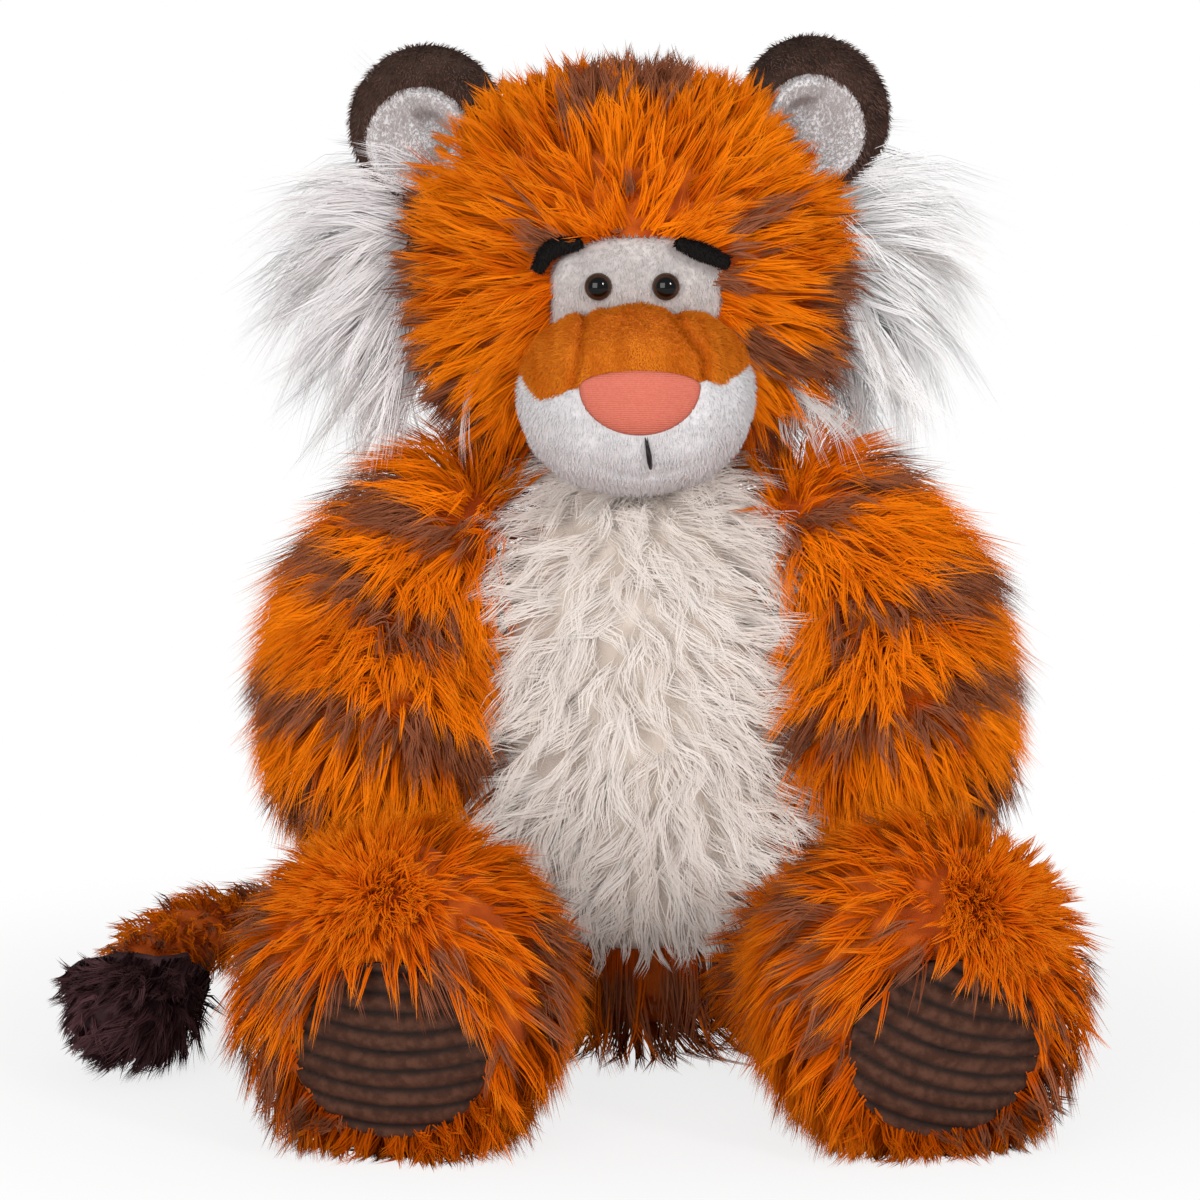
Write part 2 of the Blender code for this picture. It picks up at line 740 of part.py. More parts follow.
def arm_form(sign, grow):
    path = [
        (
            sign * out * ARM_OUT,
            -forward * ARM_FORWARD,
            -down * ARM_DOWN,
            width * ARM_WIDTH / 2,
            width * ARM_WIDTH / 2,
        )
        for out, forward, down, width in ARM_SHARES
    ]
    caps = (path[0][3], ARM_END)
    return stuffed(path, (1, 0, 0), caps, ARM_SQUARENESS, LIMB_SIDES, 1, grow)


for side_name, sign in (("right", -1), ("left", 1)):
    arm_pivot = (sign * ARM_PIVOT_X, ARM_PIVOT_Y, ARM_PIVOT_Z)
    shoulder = carrier(side_name + "_shoulder", arm_pivot)
    arm_skin = piece(
        side_name + "_arm_cover",
        shell(lambda grow: arm_form(sign, grow), 0, -LONG_WALL),
        ORANGE,
        parent=shoulder,
    )
    arm_core = piece(
        side_name + "_arm_stuffing",
        arm_form(sign, -LONG_WALL - SEAM_GAP),
        STUFFING_WHITE,
        parent=shoulder,
    )
    # The arm has room at its top to lift without running into the torso or head.
    arm_cutters = [torso_cutter, head_seat_cutter]
    for tool in (torso_cutter, head_seat_cutter):
        for k in range(1, 5):
            raised_name = f"{side_name}_{tool.name}_{k}"
            lift = sign * ARM_RAISE * k / 4
            arm_cutters.append(cutter_for_raised(raised_name, tool, arm_pivot, lift))
    for part in (arm_skin, arm_core):
        for tool in arm_cutters:
            boolean(part, tool)

# Legs: they lie on the floor, and their broad soles face forwards
# Rows are place along the leg, and width and height between the leg's and the foot's.
LEG_SHARES = (
    (0.08, 0.00),
    (0.40, 0.00),
    (0.66, 0.25),
    (0.86, 0.82),
    (1.00, 1.00),
)


def leg_form(grow):
    """A leg along -Y from its hip, with the underside on the floor."""
    path = []
    for along, foot in LEG_SHARES:
        half_width = (LEG_WIDTH + (FOOT_WIDTH - LEG_WIDTH) * foot) / 2
        half_height = (LEG_WIDTH + (FOOT_HEIGHT - LEG_WIDTH) * foot) / 2
        middle = half_height - REST_CUT
        path.append((0, -along * LEG_LENGTH, middle, half_width, half_height))
    caps = (LEG_WIDTH / 2, FOOT_END)
    return stuffed(path, (1, 0, 0), caps, LEG_SQUARENESS, LIMB_SIDES, 1, grow)


def pad_outline(grow, roll):
    """The pad's outline, turned on the sole."""
    middle = FOOT_HEIGHT / 2 - REST_CUT - PAD_BELOW
    c, s = math.cos(roll), math.sin(roll)
    half_width, half_height = PAD_WIDTH / 2 + grow, PAD_HEIGHT / 2 + grow
    flat = oval(half_width, half_height, 0, 0, PAD_SQUARENESS, 24)
    return [(x * c + z * s, middle + z * c - x * s) for x, z in flat]


sole_y = -LEG_LENGTH - FOOT_END
pad_back = -LEG_LENGTH - FOOT_END * 0.2
for side_name, sign, splay, roll in (
    ("right", -1, RIGHT_SPLAY, RIGHT_ROLL),
    ("left", 1, LEFT_SPLAY, LEFT_ROLL),
):
    hip = carrier(side_name + "_hip", (sign * LEG_PIVOT_X, LEG_PIVOT_Y, 0))
    inwards = sign * (LEG_ROOT_X - LEG_PIVOT_X)
    leg = carrier(side_name + "_leg_line", (inwards, LEG_ROOT_Y - LEG_PIVOT_Y, 0))
    leg.parent = hip
    leg.rotation_euler = (0, 0, sign * splay)
    pad_hole = cutter(
        side_name + "_pad_hole",
        prism(
            pad_outline(SEAM_GAP, sign * roll),
            pad_back + SEAM_GAP,
            sole_y - OVERRUN,
        ),
        leg,
    )
    pad_window = cutter(
        side_name + "_pad_window",
        prism(pad_outline(0, sign * roll), pad_back, sole_y - OVERRUN),
        leg,
    )
    leg_skin = piece(
        side_name + "_leg_cover", shell(leg_form, 0, -LONG_WALL), ORANGE, parent=leg
    )
    boolean(leg_skin, pad_hole)
    boolean(leg_skin, torso_cutter)
    boolean(leg_skin, floor_block)
    leg_core = piece(
        side_name + "_leg_stuffing",
        leg_form(-LONG_WALL - SEAM_GAP),
        STUFFING_WHITE,
        parent=leg,
    )
    boolean(leg_core, torso_cutter)
    pad = piece(
        side_name + "_sole_pad",
        shell(leg_form, -PAD_DEPTH, -LONG_WALL),
        DARK_BROWN,
        parent=leg,
    )
    boolean(pad, pad_window, "INTERSECT")

# Tail: a furry tube round the right side, which ends in a dark brush on the floor
# Rows are places across and along Y, as shares of the tail's sweep, and height.
TAIL_SHARES = (
    (0.06, 0.10, 0.00),
    (0.16, -0.12, 0.00),
    (0.34, -0.21, 0.00),
    (0.58, -0.13, 0.00),
    (0.81, 0.22, 0.05),
    (0.94, 0.62, 0.17),
    (1.00, 0.95, 0.05),
)


def tail_form(grow):
    half = TAIL_WIDTH / 2
    path = [
        (-x * TAIL_SWEEP_X, -y * TAIL_SWEEP_Y, z * TAIL_WIDTH, half, half)
        for x, y, z in TAIL_SHARES
    ]
    return stuffed(path, (0, 0, 1), (half, half), 2, SMALL_SIDES, 2, grow)


def tuft_form(grow=0.0):
    """The brush hangs off the tail's end, forwards and down to the floor."""
    end_x, end_y = -TAIL_SWEEP_X, -TAIL_SWEEP_Y
    middle_z = TUFT_HEIGHT / 2 - REST_CUT - TAIL_PIVOT_Z
    half_band = TUFT_LENGTH * 0.10
    path = [
        (
            end_x - shift * 0.25,
            end_y - TUFT_LENGTH * 0.05 - shift,
            middle_z,
            TUFT_WIDTH / 2,
            TUFT_HEIGHT / 2,
        )
        for shift in (-half_band, half_band)
    ]
    cap = TUFT_LENGTH / 2 - half_band
    return stuffed(path, (1, 0, 0), (cap, cap), 2, LIMB_SIDES, 1, grow)


tail_base = carrier("tail_base", (TAIL_PIVOT_X, TAIL_PIVOT_Y, TAIL_PIVOT_Z))
tail = carrier("tail_line", (TAIL_ROOT_X - TAIL_PIVOT_X, 0, 0))
tail.parent = tail_base
tail_cutter = cutter("tail_cutter", tail_form(SEAM_GAP), tail)
tail_skin = piece(
    "tail_cover", shell(tail_form, 0, -LONG_WALL * 0.6), ORANGE, parent=tail
)
boolean(tail_skin, torso_cutter)
tail_core = piece(
    "tail_stuffing",
    tail_form(-LONG_WALL * 0.6 - SEAM_GAP),
    STUFFING_WHITE,
    parent=tail,
)
boolean(tail_core, torso_cutter)
tail_tuft = piece("tail_tuft", tuft_form(), PLUM_BROWN, parent=tail)
boolean(tail_tuft, tail_cutter)
boolean(tail_tuft, floor_block)
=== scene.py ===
"""A sitting plush tiger, dressed round its CAD solids, in metres.

It looks along -Y and its own left is +X. Each section makes one piece, or a pair of
like pieces, in the order in which such a toy is sewn together.
"""

import math

import bmesh
import bpy
import numpy as np
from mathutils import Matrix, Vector
from mathutils.bvhtree import BVHTree


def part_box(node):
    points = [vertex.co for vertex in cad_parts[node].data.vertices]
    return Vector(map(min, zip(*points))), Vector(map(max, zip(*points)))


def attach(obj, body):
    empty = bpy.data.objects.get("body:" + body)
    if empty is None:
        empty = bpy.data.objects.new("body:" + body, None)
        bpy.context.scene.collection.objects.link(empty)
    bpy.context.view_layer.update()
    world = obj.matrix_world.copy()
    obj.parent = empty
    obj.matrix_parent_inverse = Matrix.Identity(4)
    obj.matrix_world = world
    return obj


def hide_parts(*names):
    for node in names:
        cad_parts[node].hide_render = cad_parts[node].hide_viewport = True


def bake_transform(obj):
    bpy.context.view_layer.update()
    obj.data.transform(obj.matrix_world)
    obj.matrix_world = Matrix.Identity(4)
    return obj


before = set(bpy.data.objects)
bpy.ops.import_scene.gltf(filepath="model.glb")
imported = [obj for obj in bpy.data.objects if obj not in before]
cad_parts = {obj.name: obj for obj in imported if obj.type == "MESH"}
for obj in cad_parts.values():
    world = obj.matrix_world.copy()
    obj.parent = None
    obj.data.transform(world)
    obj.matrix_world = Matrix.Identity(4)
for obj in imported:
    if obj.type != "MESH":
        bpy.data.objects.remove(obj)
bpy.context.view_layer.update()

# Camera
# It stands two metres before the toy, a little over its middle, and looks slightly
# down. A long lens gives the flat view of a product picture.
CAMERA_PLACE = (-0.0166, -1.98, 0.424)
CAMERA_AIM = (-0.0166, 0.02, 0.193)
LENS = 133.3


def placed(name, data):
    """A new object in the scene that holds this data."""
    made = bpy.data.objects.new(name, data)
    bpy.context.collection.objects.link(made)
    return made


def turned_to(place, target):
    """The turn that makes a camera or lamp at a place look at its target."""
    return (Vector(target) - Vector(place)).to_track_quat("-Z", "Y").to_euler()


camera_data = bpy.data.cameras.new("camera")
camera_data.lens = LENS
camera_data.sensor_width = 36
camera = placed("camera", camera_data)
camera.location = CAMERA_PLACE
camera.rotation_euler = turned_to(CAMERA_PLACE, CAMERA_AIM)
bpy.context.scene.camera = camera

# Torso skin
# A pear of woven backing cloth, stuffed with loose fibre, which puffs it out between
# its seams. Its orange pile is a piece of its own, made below.
BACKING = 0.0075  # how far the cloth lies under the middle of the long pile
TORSO_WEAVE = 0.006
PUFF = 4.0
PUFF_STEPS = 20


def pick_only(*objects):
    bpy.ops.object.select_all(action="DESELECT")
    for chosen in objects:
        chosen.select_set(True)
    bpy.context.view_layer.objects.active = objects[0]


def modified(piece, kind, **settings):
    """Gives a piece a modifier and applies it."""
    pick_only(piece)
    added = piece.modifiers.new(kind.lower(), kind)
    for name, value in settings.items():
        setattr(added, name, value)
    bpy.ops.object.modifier_apply(modifier=added.name)


def smoothed(piece):
    pick_only(piece)
    bpy.ops.object.shade_smooth()


def welded(piece, distance, outwards=False):
    """Merges the corners that meet, and turns the faces outwards where that is asked."""
    pick_only(piece)
    bpy.ops.object.mode_set(mode="EDIT")
    bpy.ops.mesh.select_all(action="SELECT")
    bpy.ops.mesh.remove_doubles(threshold=distance)
    if outwards:
        bpy.ops.mesh.normals_make_consistent(inside=False)
    bpy.ops.object.mode_set(mode="OBJECT")


def joined_copy(name, nodes):
    """One welded mesh from copies of some CAD nodes."""
    copies = [placed(name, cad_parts[node].data.copy()) for node in nodes]
    if len(copies) > 1:
        pick_only(*copies)
        bpy.ops.object.join()
    whole = copies[0]
    whole.name = name
    whole.data.materials.clear()
    welded(whole, 0.00005)
    return whole


def vectors_of(rows, name):
    found = np.empty(len(rows) * 3, np.float32)
    rows.foreach_get(name, found)
    return found.reshape(-1, 3).astype(float)


def vertex_places(mesh):
    return vectors_of(mesh.vertices, "co")


def vertex_directions(mesh):
    return vectors_of(mesh.vertex_normals, "vector")


def move_vertices(mesh, places):
    mesh.vertices.foreach_set("co", np.asarray(places, np.float32).ravel())
    mesh.update()


def lone_shell(skin):
    """Only the biggest connected shell of a mesh is kept."""
    shape = bmesh.new()
    shape.from_mesh(skin.data)
    left = set(shape.verts)
    shells = []
    while left:
        edge = [left.pop()]
        found = list(edge)
        while edge:
            here = edge.pop()
            for link in here.link_edges:
                other = link.other_vert(here)
                if other in left:
                    left.remove(other)
                    found.append(other)
                    edge.append(other)
        shells.append(found)
    shells.sort(key=len)
    for lesser in shells[:-1]:
        bmesh.ops.delete(shape, geom=lesser, context="VERTS")
    shape.to_mesh(skin.data)
    shape.free()


def puffed(skin, pressure, most):
    """The filling blows the skin up, and no point of it moves further than most."""
    before = vertex_places(skin.data)
    filling = skin.modifiers.new("filling", "CLOTH")
    filling.settings.quality = 4
    filling.settings.use_pressure = True
    filling.settings.uniform_pressure_force = pressure
    filling.settings.effector_weights.gravity = 0
    filling.point_cache.frame_end = PUFF_STEPS
    for step in range(1, PUFF_STEPS + 1):
        bpy.context.scene.frame_set(step)
    pick_only(skin)
    bpy.ops.object.modifier_apply(modifier="filling")
    bpy.context.scene.frame_set(1)
    moved = vertex_places(skin.data) - before
    far = np.linalg.norm(moved, axis=1)[:, None]
    moved *= np.minimum(1, most / np.maximum(far, 1e-9))
    move_vertices(skin.data, before + moved)


def sewn_skin(name, nodes, weave, draw_in, swell, easing=4):
    """A closed cloth skin round some CAD nodes: drawn in, then puffed up by its filling."""
    skin = joined_copy(name, nodes)
    skin.data.remesh_voxel_size = weave
    bpy.ops.object.voxel_remesh()
    lone_shell(skin)
    modified(skin, "SMOOTH", factor=0.5, iterations=easing)
    places = vertex_places(skin.data)
    move_vertices(skin.data, places - vertex_directions(skin.data) * draw_in)
    puffed(skin, PUFF, swell)
    smoothed(skin)
    return skin


def add_node(tree, kind, inputs=None, **settings):
    """A shader node. Each input is given a value or another node's output."""
    made = tree.nodes.new("ShaderNode" + kind)
    for name, value in settings.items():
        setattr(made, name, value)
    for name, value in (inputs or {}).items():
        socket = made.inputs[name]
        if isinstance(value, bpy.types.NodeSocket):
            tree.links.new(value, socket)
        else:
            socket.default_value = (*value, 1) if socket.type == "RGBA" else value
    return made


def mixed(tree, factor, first, second):
    """A mix of two colours or colour outputs."""
    return add_node(tree, "Mix", {0: factor, 6: first, 7: second}, data_type="RGBA").outputs[2]


def ramped(tree, value, low, high, from_value, to_value):
    """A value that runs smoothly between two others as the first runs from low to high."""
    ends = {"From Min": low, "From Max": high, "To Min": from_value, "To Max": to_value}
    ramp = add_node(tree, "MapRange", {"Value": value, **ends}, interpolation_type="SMOOTHSTEP")
    return ramp.outputs["Result"]


def object_place(tree):
    return add_node(tree, "TexCoord").outputs["Object"]


def plain_noise(tree, scale, detail=2.0):
    where = {"Vector": object_place(tree), "Scale": scale, "Detail": detail}
    return add_node(tree, "TexNoise", where).outputs["Fac"]


def bumped(tree, height, strength, distance):
    bump = {"Strength": strength, "Distance": distance, "Height": height}
    return add_node(tree, "Bump", bump).outputs["Normal"]


def new_finish(name, roughness, specular=0.3):
    """A material, its node tree and its shader."""
    made = bpy.data.materials.new(name)
    made.use_nodes = True
    surface = made.node_tree.nodes["Principled BSDF"]
    surface.inputs["Roughness"].default_value = roughness
    surface.inputs["Specular IOR Level"].default_value = specular
    return made, made.node_tree, surface


def backing_finish(name, dark, light):
    """The woven cloth that shows between the roots of a pile."""
    made, tree, surface = new_finish(name, 0.95)
    patches = ramped(tree, plain_noise(tree, 60), 0.35, 0.65, 0.0, 1.0)
    tree.links.new(mixed(tree, patches, dark, light), surface.inputs["Base Color"])
    threads = plain_noise(tree, 1400)
    tree.links.new(bumped(tree, threads, 0.5, 0.0005), surface.inputs["Normal"])
    return made


# The orange backing is painted a deep orange: painted shade for the depths between the locks, where it shows.
shaded_orange_backing = backing_finish("shaded_orange_backing", (0.36, 0.056, 0.003), (0.58, 0.112, 0.005))
torso_skin = sewn_skin(
    "torso_skin", ["torso_cover", "belly_panel", "torso_stuffing"], TORSO_WEAVE, BACKING, 0.005
)
torso_skin.data.materials.append(shaded_orange_backing)
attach(torso_skin, "torso")
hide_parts("torso_cover", "torso_stuffing")

# Torso pile
# Long polyester pile woven into the backing cloth. It hangs in locks, orange with
# brown tips in the stripes, and is darker at its roots.
PILE_LENGTH = 0.028
HAIR_HALF = 0.00040  # half the width of one strand, which stands for a few real hairs
LOCK_HALF = 0.0029  # half the width of a lock of strands at its root
MOST_TRIANGLES = 190000  # in one piece
THINNER_BEHIND = 0.5  # the share of locks left out on cloth that faces backwards
LOWEST_HAIR = 0.0009  # how far every hair stays over the floor
ORANGE_DEEP = (0.56, 0.078, 0.002)
ORANGE_BRIGHT = (1.00, 0.225, 0.004)
ORANGE_TIP = (1.00, 0.28, 0.012)
STRIPE_DARK = (0.15, 0.045, 0.020)
STRIPE_LIGHT = (0.36, 0.120, 0.056)
STRIPE_SHARE = 0.3  # tints under this are the brown of the stripes
TORSO_STRIPES = ((0.024, 0.013), (0.082, 0.010), (0.134, 0.009), (0.184, 0.009), (0.230, 0.008))
random = np.random.default_rng(11)


def unit(vectors):
    return vectors / np.maximum(np.linalg.norm(vectors, axis=-1, keepdims=True), 1e-12)


def risen(value, start, run):
    """0 up to the start and 1 after the run, or the other way round where the run is negative."""
    return np.clip((value - start) / run, 0, 1)


def eased(value, low, high):
    share = risen(value, low, high - low)
    return share * share * (3 - 2 * share)


def flattened(vectors, normals):
    """Directions with what points out of the cloth taken away."""
    along = (vectors * normals).sum(-1, keepdims=True)
    return unit(vectors - normals * along)


def ripple(places, wavelength, seed):
    """A smooth wandering value from about -1 to 1."""
    own = np.random.default_rng(seed)
    total = np.zeros(len(places))
    for _ in range(6):
        wave = unit(own.normal(size=3)) * 2 * math.pi / (wavelength * own.uniform(0.7, 1.5))
        total += np.sin(places @ wave + own.uniform(0, 2 * math.pi))
    return total / 3


def points_on(skin, count):
    """Random places on a skin, and the directions straight out of it."""
    mesh = skin.data
    mesh.calc_loop_triangles()
    corners = np.empty(len(mesh.loop_triangles) * 3, np.int32)
    mesh.loop_triangles.foreach_get("vertices", corners)
    corners = corners.reshape(-1, 3)
    places = vertex_places(mesh)
    directions = vertex_directions(mesh)
    first, second, third = (places[corners[:, k]] for k in range(3))
    areas = np.linalg.norm(np.cross(second - first, third - first), axis=1)
    picked = random.choice(len(areas), size=count, p=areas / areas.sum())
    reach = np.sqrt(random.random(count))
    turn = random.random(count)
    shares = np.stack([1 - reach, reach * (1 - turn), reach * turn], axis=1)[:, :, None]
    chosen = corners[picked]
    return (places[chosen] * shares).sum(1), unit((directions[chosen] * shares).sum(1))


def strand_faces(rings):
    """The corners of each face of one strand: three sides in rings, a point and a closed root."""
    faces = []
    for ring in range(rings):
        for k in range(3):
            low, after = ring * 3 + k, ring * 3 + (k + 1) % 3
            faces.append((low, after, after + 3, low + 3) if ring < rings - 1 else (low, after, rings * 3))
    return faces + [(0, 2, 1)]


def strand_piece(name, paths, outs, halves, tints, finish, roundness, lit_from):
    """Closed three-sided strands along paths of (strand, point, xyz), which end in a point.

    Each strand's colour is read across from its tint and up from its root. It catches
    the light as the cloth under it would, because real fibres let light through.
    """
    count, points, _ = paths.shape
    rings = points - 1
    along = unit(np.gradient(paths, axis=1))[:, :rings]
    outward = unit(np.cross(np.cross(along, outs[:, None]), along))
    side = np.cross(along, outward)
    roll = random.normal(0, 0.45, (count, 1, 1))
    rolled = side * np.cos(roll) + outward * np.sin(roll)
    outward = outward * np.cos(roll) - side * np.sin(roll)
    wide = halves[:, :, None]
    centre = paths[:, :rings]
    corners = [centre + outward * wide * 0.8, centre + rolled * wide, centre - rolled * wide]
    sides = np.stack(corners, axis=2).reshape(count, rings * 3, 3)
    vertices = np.concatenate([sides, paths[:, -1:]], axis=1)

    per_strand = rings * 3 + 1
    corner = np.arange(per_strand)
    shift = np.where(corner < rings * 3, np.array([0.0, 0.004, -0.004])[corner % 3], 0.0)
    height = np.minimum(np.linspace(0, 1, points)[corner // 3], 0.999)
    height[0] += 0.012
    faces = strand_faces(rings)
    flat = np.array([corner for face in faces for corner in face])
    totals = np.tile([len(face) for face in faces], count)
    loops = (flat[None] + np.arange(count)[:, None] * per_strand).ravel()
    starts = np.concatenate([[0], np.cumsum(totals)[:-1]])
    mesh = bpy.data.meshes.new(name)
    mesh.vertices.add(count * per_strand)
    mesh.vertices.foreach_set("co", vertices.astype(np.float32).ravel())
    mesh.loops.add(len(loops))
    mesh.loops.foreach_set("vertex_index", loops.astype(np.int32))
    mesh.polygons.add(len(starts))
    mesh.polygons.foreach_set("loop_start", starts.astype(np.int32))
    mesh.polygons.foreach_set("loop_total", totals.astype(np.int32))
    mesh.polygons.foreach_set("use_smooth", np.ones(len(starts), bool))
    across = np.clip(tints, 0.01, 0.99)[:, None] + shift[flat][None]
    up = np.tile(height[flat], (count, 1))
    layer = mesh.uv_layers.new(name="OFBake")
    layer.uv.foreach_set("vector", np.stack([across, up], axis=2).astype(np.float32).ravel())
    mesh.update(calc_edges=True)
    mesh.validate()
    cloth_light = np.repeat(outs + np.array(lit_from), per_strand, axis=0)
    soft = unit(vertex_directions(mesh) * roundness + cloth_light)
    mesh.normals_split_custom_set_from_vertices(soft)
    mesh.materials.append(finish)
    return placed(name, mesh)


def pile(
    name, skin, finish, body, slot, locks, per_lock, length, comb, tint,
    rise=34, lie=76, gather=0.55, half=HAIR_HALF, lock_half=LOCK_HALF, points=3,
    keep=None, curl=0.04, droop=0.10, spread=17, roundness=0.25, lit_from=(0.0, -0.35, 0.15),
    lean=None, uneven=0.16, strand_spread=5, bends=None,
):
    """Locks of strands rooted all over a skin and combed along a flow, as pieces of one body.

    A strand leaves the cloth at the angle rise from straight out and ends at the angle
    lie. Where lean is given, both are made smaller by it, from place to place.
    """
    places, normals = points_on(skin, locks)
    stays = (normals[:, 1] < 0.3) | (random.random(locks) > THINNER_BEHIND)
    places, normals = places[stays], normals[stays]
    if keep is not None:
        kept = keep(places, normals)
        places, normals = places[kept], normals[kept]
    flow = flattened(comb(places, normals), normals)
    across = np.cross(normals, flow)
    swerve = np.radians(random.normal(0, spread, len(places)))[:, None]
    flow = flow * np.cos(swerve) + across * np.sin(swerve)
    across = np.cross(normals, flow)
    lock_length = length(places) if callable(length) else np.full(len(places), length)
    lock_length = lock_length * random.uniform(0.96 - uneven, 0.96 + uneven, len(places))
    lock_rise = np.radians(rise + random.normal(0, 8, len(places)))
    lock_lie = np.radians(lie + random.normal(0, 9, len(places)))
    if lean is not None:
        share = lean(places)
        lock_rise = lock_rise * share
        lock_lie = lock_lie * share
    half_way = ((lock_rise + lock_lie) / 2)[:, None]
    towards = normals * np.cos(half_way) + flow * np.sin(half_way)
    lock_tint = tint(places + towards * (lock_length * 0.55)[:, None], normals)

    def each(values):
        return np.repeat(values, per_lock, axis=0)

    total = len(places) * per_lock
    reach = np.sqrt(random.random(total))
    turn = random.uniform(0, 2 * math.pi, total)
    outs, flows, sides = each(normals), each(flow), each(across)
    shift = flows * np.cos(turn)[:, None] + sides * np.sin(turn)[:, None]
    shift *= (reach * lock_half)[:, None]
    strand_length = each(lock_length) * (1 - 0.16 * reach) * random.uniform(0.86, 1.0, total)
    start = each(lock_rise) + np.radians(random.normal(0, strand_spread, total))
    end = each(lock_lie) + np.radians(random.normal(0, strand_spread, total))
    steps = np.linspace(0, 1, points)
    paths = np.empty((total, points, 3))
    here = each(places)
    paths[:, 0] = here + shift
    wave = each(random.uniform(0, 2 * math.pi, len(places))) + random.normal(0, 0.35, total)
    turns = each(random.uniform(0.5, 1.0, len(places)))
    step = (strand_length / (points - 1))[:, None]
    for k in range(1, points):
        angle = (start + (end - start) * ((steps[k] + steps[k - 1]) / 2))[:, None]
        here = here + (outs * np.cos(angle) + flows * np.sin(angle)) * step
        here[:, 2] -= strand_length * droop * (steps[k] ** 2 - steps[k - 1] ** 2)
        bent = here + shift * (1 - gather * steps[k])
        if curl:
            phase = wave + steps[k] * 2 * math.pi * turns
            size = (strand_length * curl * steps[k])[:, None]
            bent = bent + sides * (np.sin(phase) - np.sin(wave))[:, None] * size
            bent = bent + outs * np.cos(phase)[:, None] * size * 0.3
        paths[:, k] = bent
    halves = half * random.uniform(0.75, 1.2, (total, 1)) * np.linspace(1.0, 0.72, points - 1)[None]
    tints = each(lock_tint) + random.normal(0, 0.045, total)
    striped = np.minimum(tints, STRIPE_SHARE - 0.02)
    plain = np.maximum(tints, STRIPE_SHARE + 0.02)
    tints = np.where(each(lock_tint) < STRIPE_SHARE, striped, plain)
    floor_height = LOWEST_HAIR + 0.0006 * random.random((total, 1))
    paths[:, :, 2] = np.maximum(paths[:, :, 2], floor_height)
    most = MOST_TRIANGLES // (6 * (points - 1) - 2)
    for k, first in enumerate(range(0, total, most)):
        part = slice(first, first + most)
        hairs = (paths[part], outs[part], halves[part], tints[part])
        piece = strand_piece(name + "_" + str(k + 1), *hairs, finish, roundness, lit_from)
        if bends:
            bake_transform(piece)
        else:
            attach(piece, body)


def pile_colour_group():
    """The colour of a strand: its tint picks the stripe's brown or the ground's colour."""
    tree = bpy.data.node_groups.new("pile_colour", "ShaderNodeTree")
    colours = ["Ground dark", "Ground light", "Tip", "Stripe dark", "Stripe light"]
    for title in ["Tint", "Height"] + colours + ["Root shade"]:
        kind = "NodeSocketColor" if title in colours else "NodeSocketFloat"
        tree.interface.new_socket(title, in_out="INPUT", socket_type=kind)
    tree.interface.new_socket("Color", in_out="OUTPUT", socket_type="NodeSocketColor")
    tree.interface.new_socket("Roughness", in_out="OUTPUT", socket_type="NodeSocketFloat")
    given = tree.nodes.new("NodeGroupInput").outputs
    out = tree.nodes.new("NodeGroupOutput").inputs
    tint, height = given["Tint"], given["Height"]
    in_ground = ramped(tree, tint, STRIPE_SHARE, 1.0, 0.0, 1.0)
    ground = mixed(tree, in_ground, given["Ground dark"], given["Ground light"])
    tipped = mixed(tree, ramped(tree, height, 0.55, 1.0, 0.0, 0.6), ground, given["Tip"])
    in_stripe = ramped(tree, tint, 0.0, STRIPE_SHARE, 0.0, 1.0)
    stripe = mixed(tree, in_stripe, given["Stripe dark"], given["Stripe light"])
    dyed = mixed(tree, ramped(tree, height, 0.10, 0.40, 0.0, 1.0), ground, stripe)
    is_ground = ramped(tree, tint, STRIPE_SHARE - 0.01, STRIPE_SHARE + 0.01, 0.0, 1.0)
    colour = mixed(tree, is_ground, dyed, tipped)
    up = {"Value": height, "From Max": 0.5, "To Min": given["Root shade"]}
    shade = add_node(tree, "MapRange", up).outputs["Result"]
    darker = add_node(tree, "VectorMath", {0: colour, "Scale": shade}, operation="SCALE")
    tree.links.new(darker.outputs["Vector"], out["Color"])
    tree.links.new(ramped(tree, height, 0.0, 1.0, 0.75, 0.48), out["Roughness"])
    return tree


pile_colour = pile_colour_group()


def pile_finish(name, ground, tip, stripe, root_shade, lets_through=0.0):
    """Hair of a dark and a light colour, with its tip, its stripes and its shaded root."""
    made, tree, surface = new_finish(name, 0.6, 0.0)
    where = add_node(tree, "UVMap", uv_map="OFBake").outputs["UV"]
    parts = add_node(tree, "SeparateXYZ", {"Vector": where}).outputs
    colours = {"Ground dark": ground[0], "Ground light": ground[1], "Tip": tip}
    colours.update({"Stripe dark": stripe[0], "Stripe light": stripe[1], "Root shade": root_shade})
    place = {"Tint": parts["X"], "Height": parts["Y"]}
    group = add_node(tree, "Group", {**place, **colours}, node_tree=pile_colour)
    tree.links.new(group.outputs["Color"], surface.inputs["Base Color"])
    tree.links.new(group.outputs["Roughness"], surface.inputs["Roughness"])
    if lets_through:
        shadow = add_node(tree, "LightPath").outputs["Is Shadow Ray"]
        share = add_node(tree, "Math", {0: shadow, 1: lets_through}, operation="MULTIPLY").outputs[0]
        clear = add_node(tree, "BsdfTransparent").outputs["BSDF"]
        blend = add_node(tree, "MixShader", {0: share, 1: surface.outputs["BSDF"], 2: clear})
        tree.links.new(blend.outputs["Shader"], tree.nodes["Material Output"].inputs["Surface"])
    return made


striped_pile = pile_finish(
    "striped_pile", (ORANGE_DEEP, ORANGE_BRIGHT), ORANGE_TIP, (STRIPE_DARK, STRIPE_LIGHT), 0.80, 0.25
)
BELLY_HALF_WIDTH = 0.064
BELLY_HALF_HEIGHT = 0.108
BELLY_CENTRE = 0.158


def in_belly(places, grow=0.0):
    across = np.abs(places[:, 0]) / (BELLY_HALF_WIDTH + grow)
    up = np.abs(places[:, 2] - BELLY_CENTRE) / (BELLY_HALF_HEIGHT + grow)
    return (across**2.4 + up**2.4 < 1) & (places[:, 1] < 0)


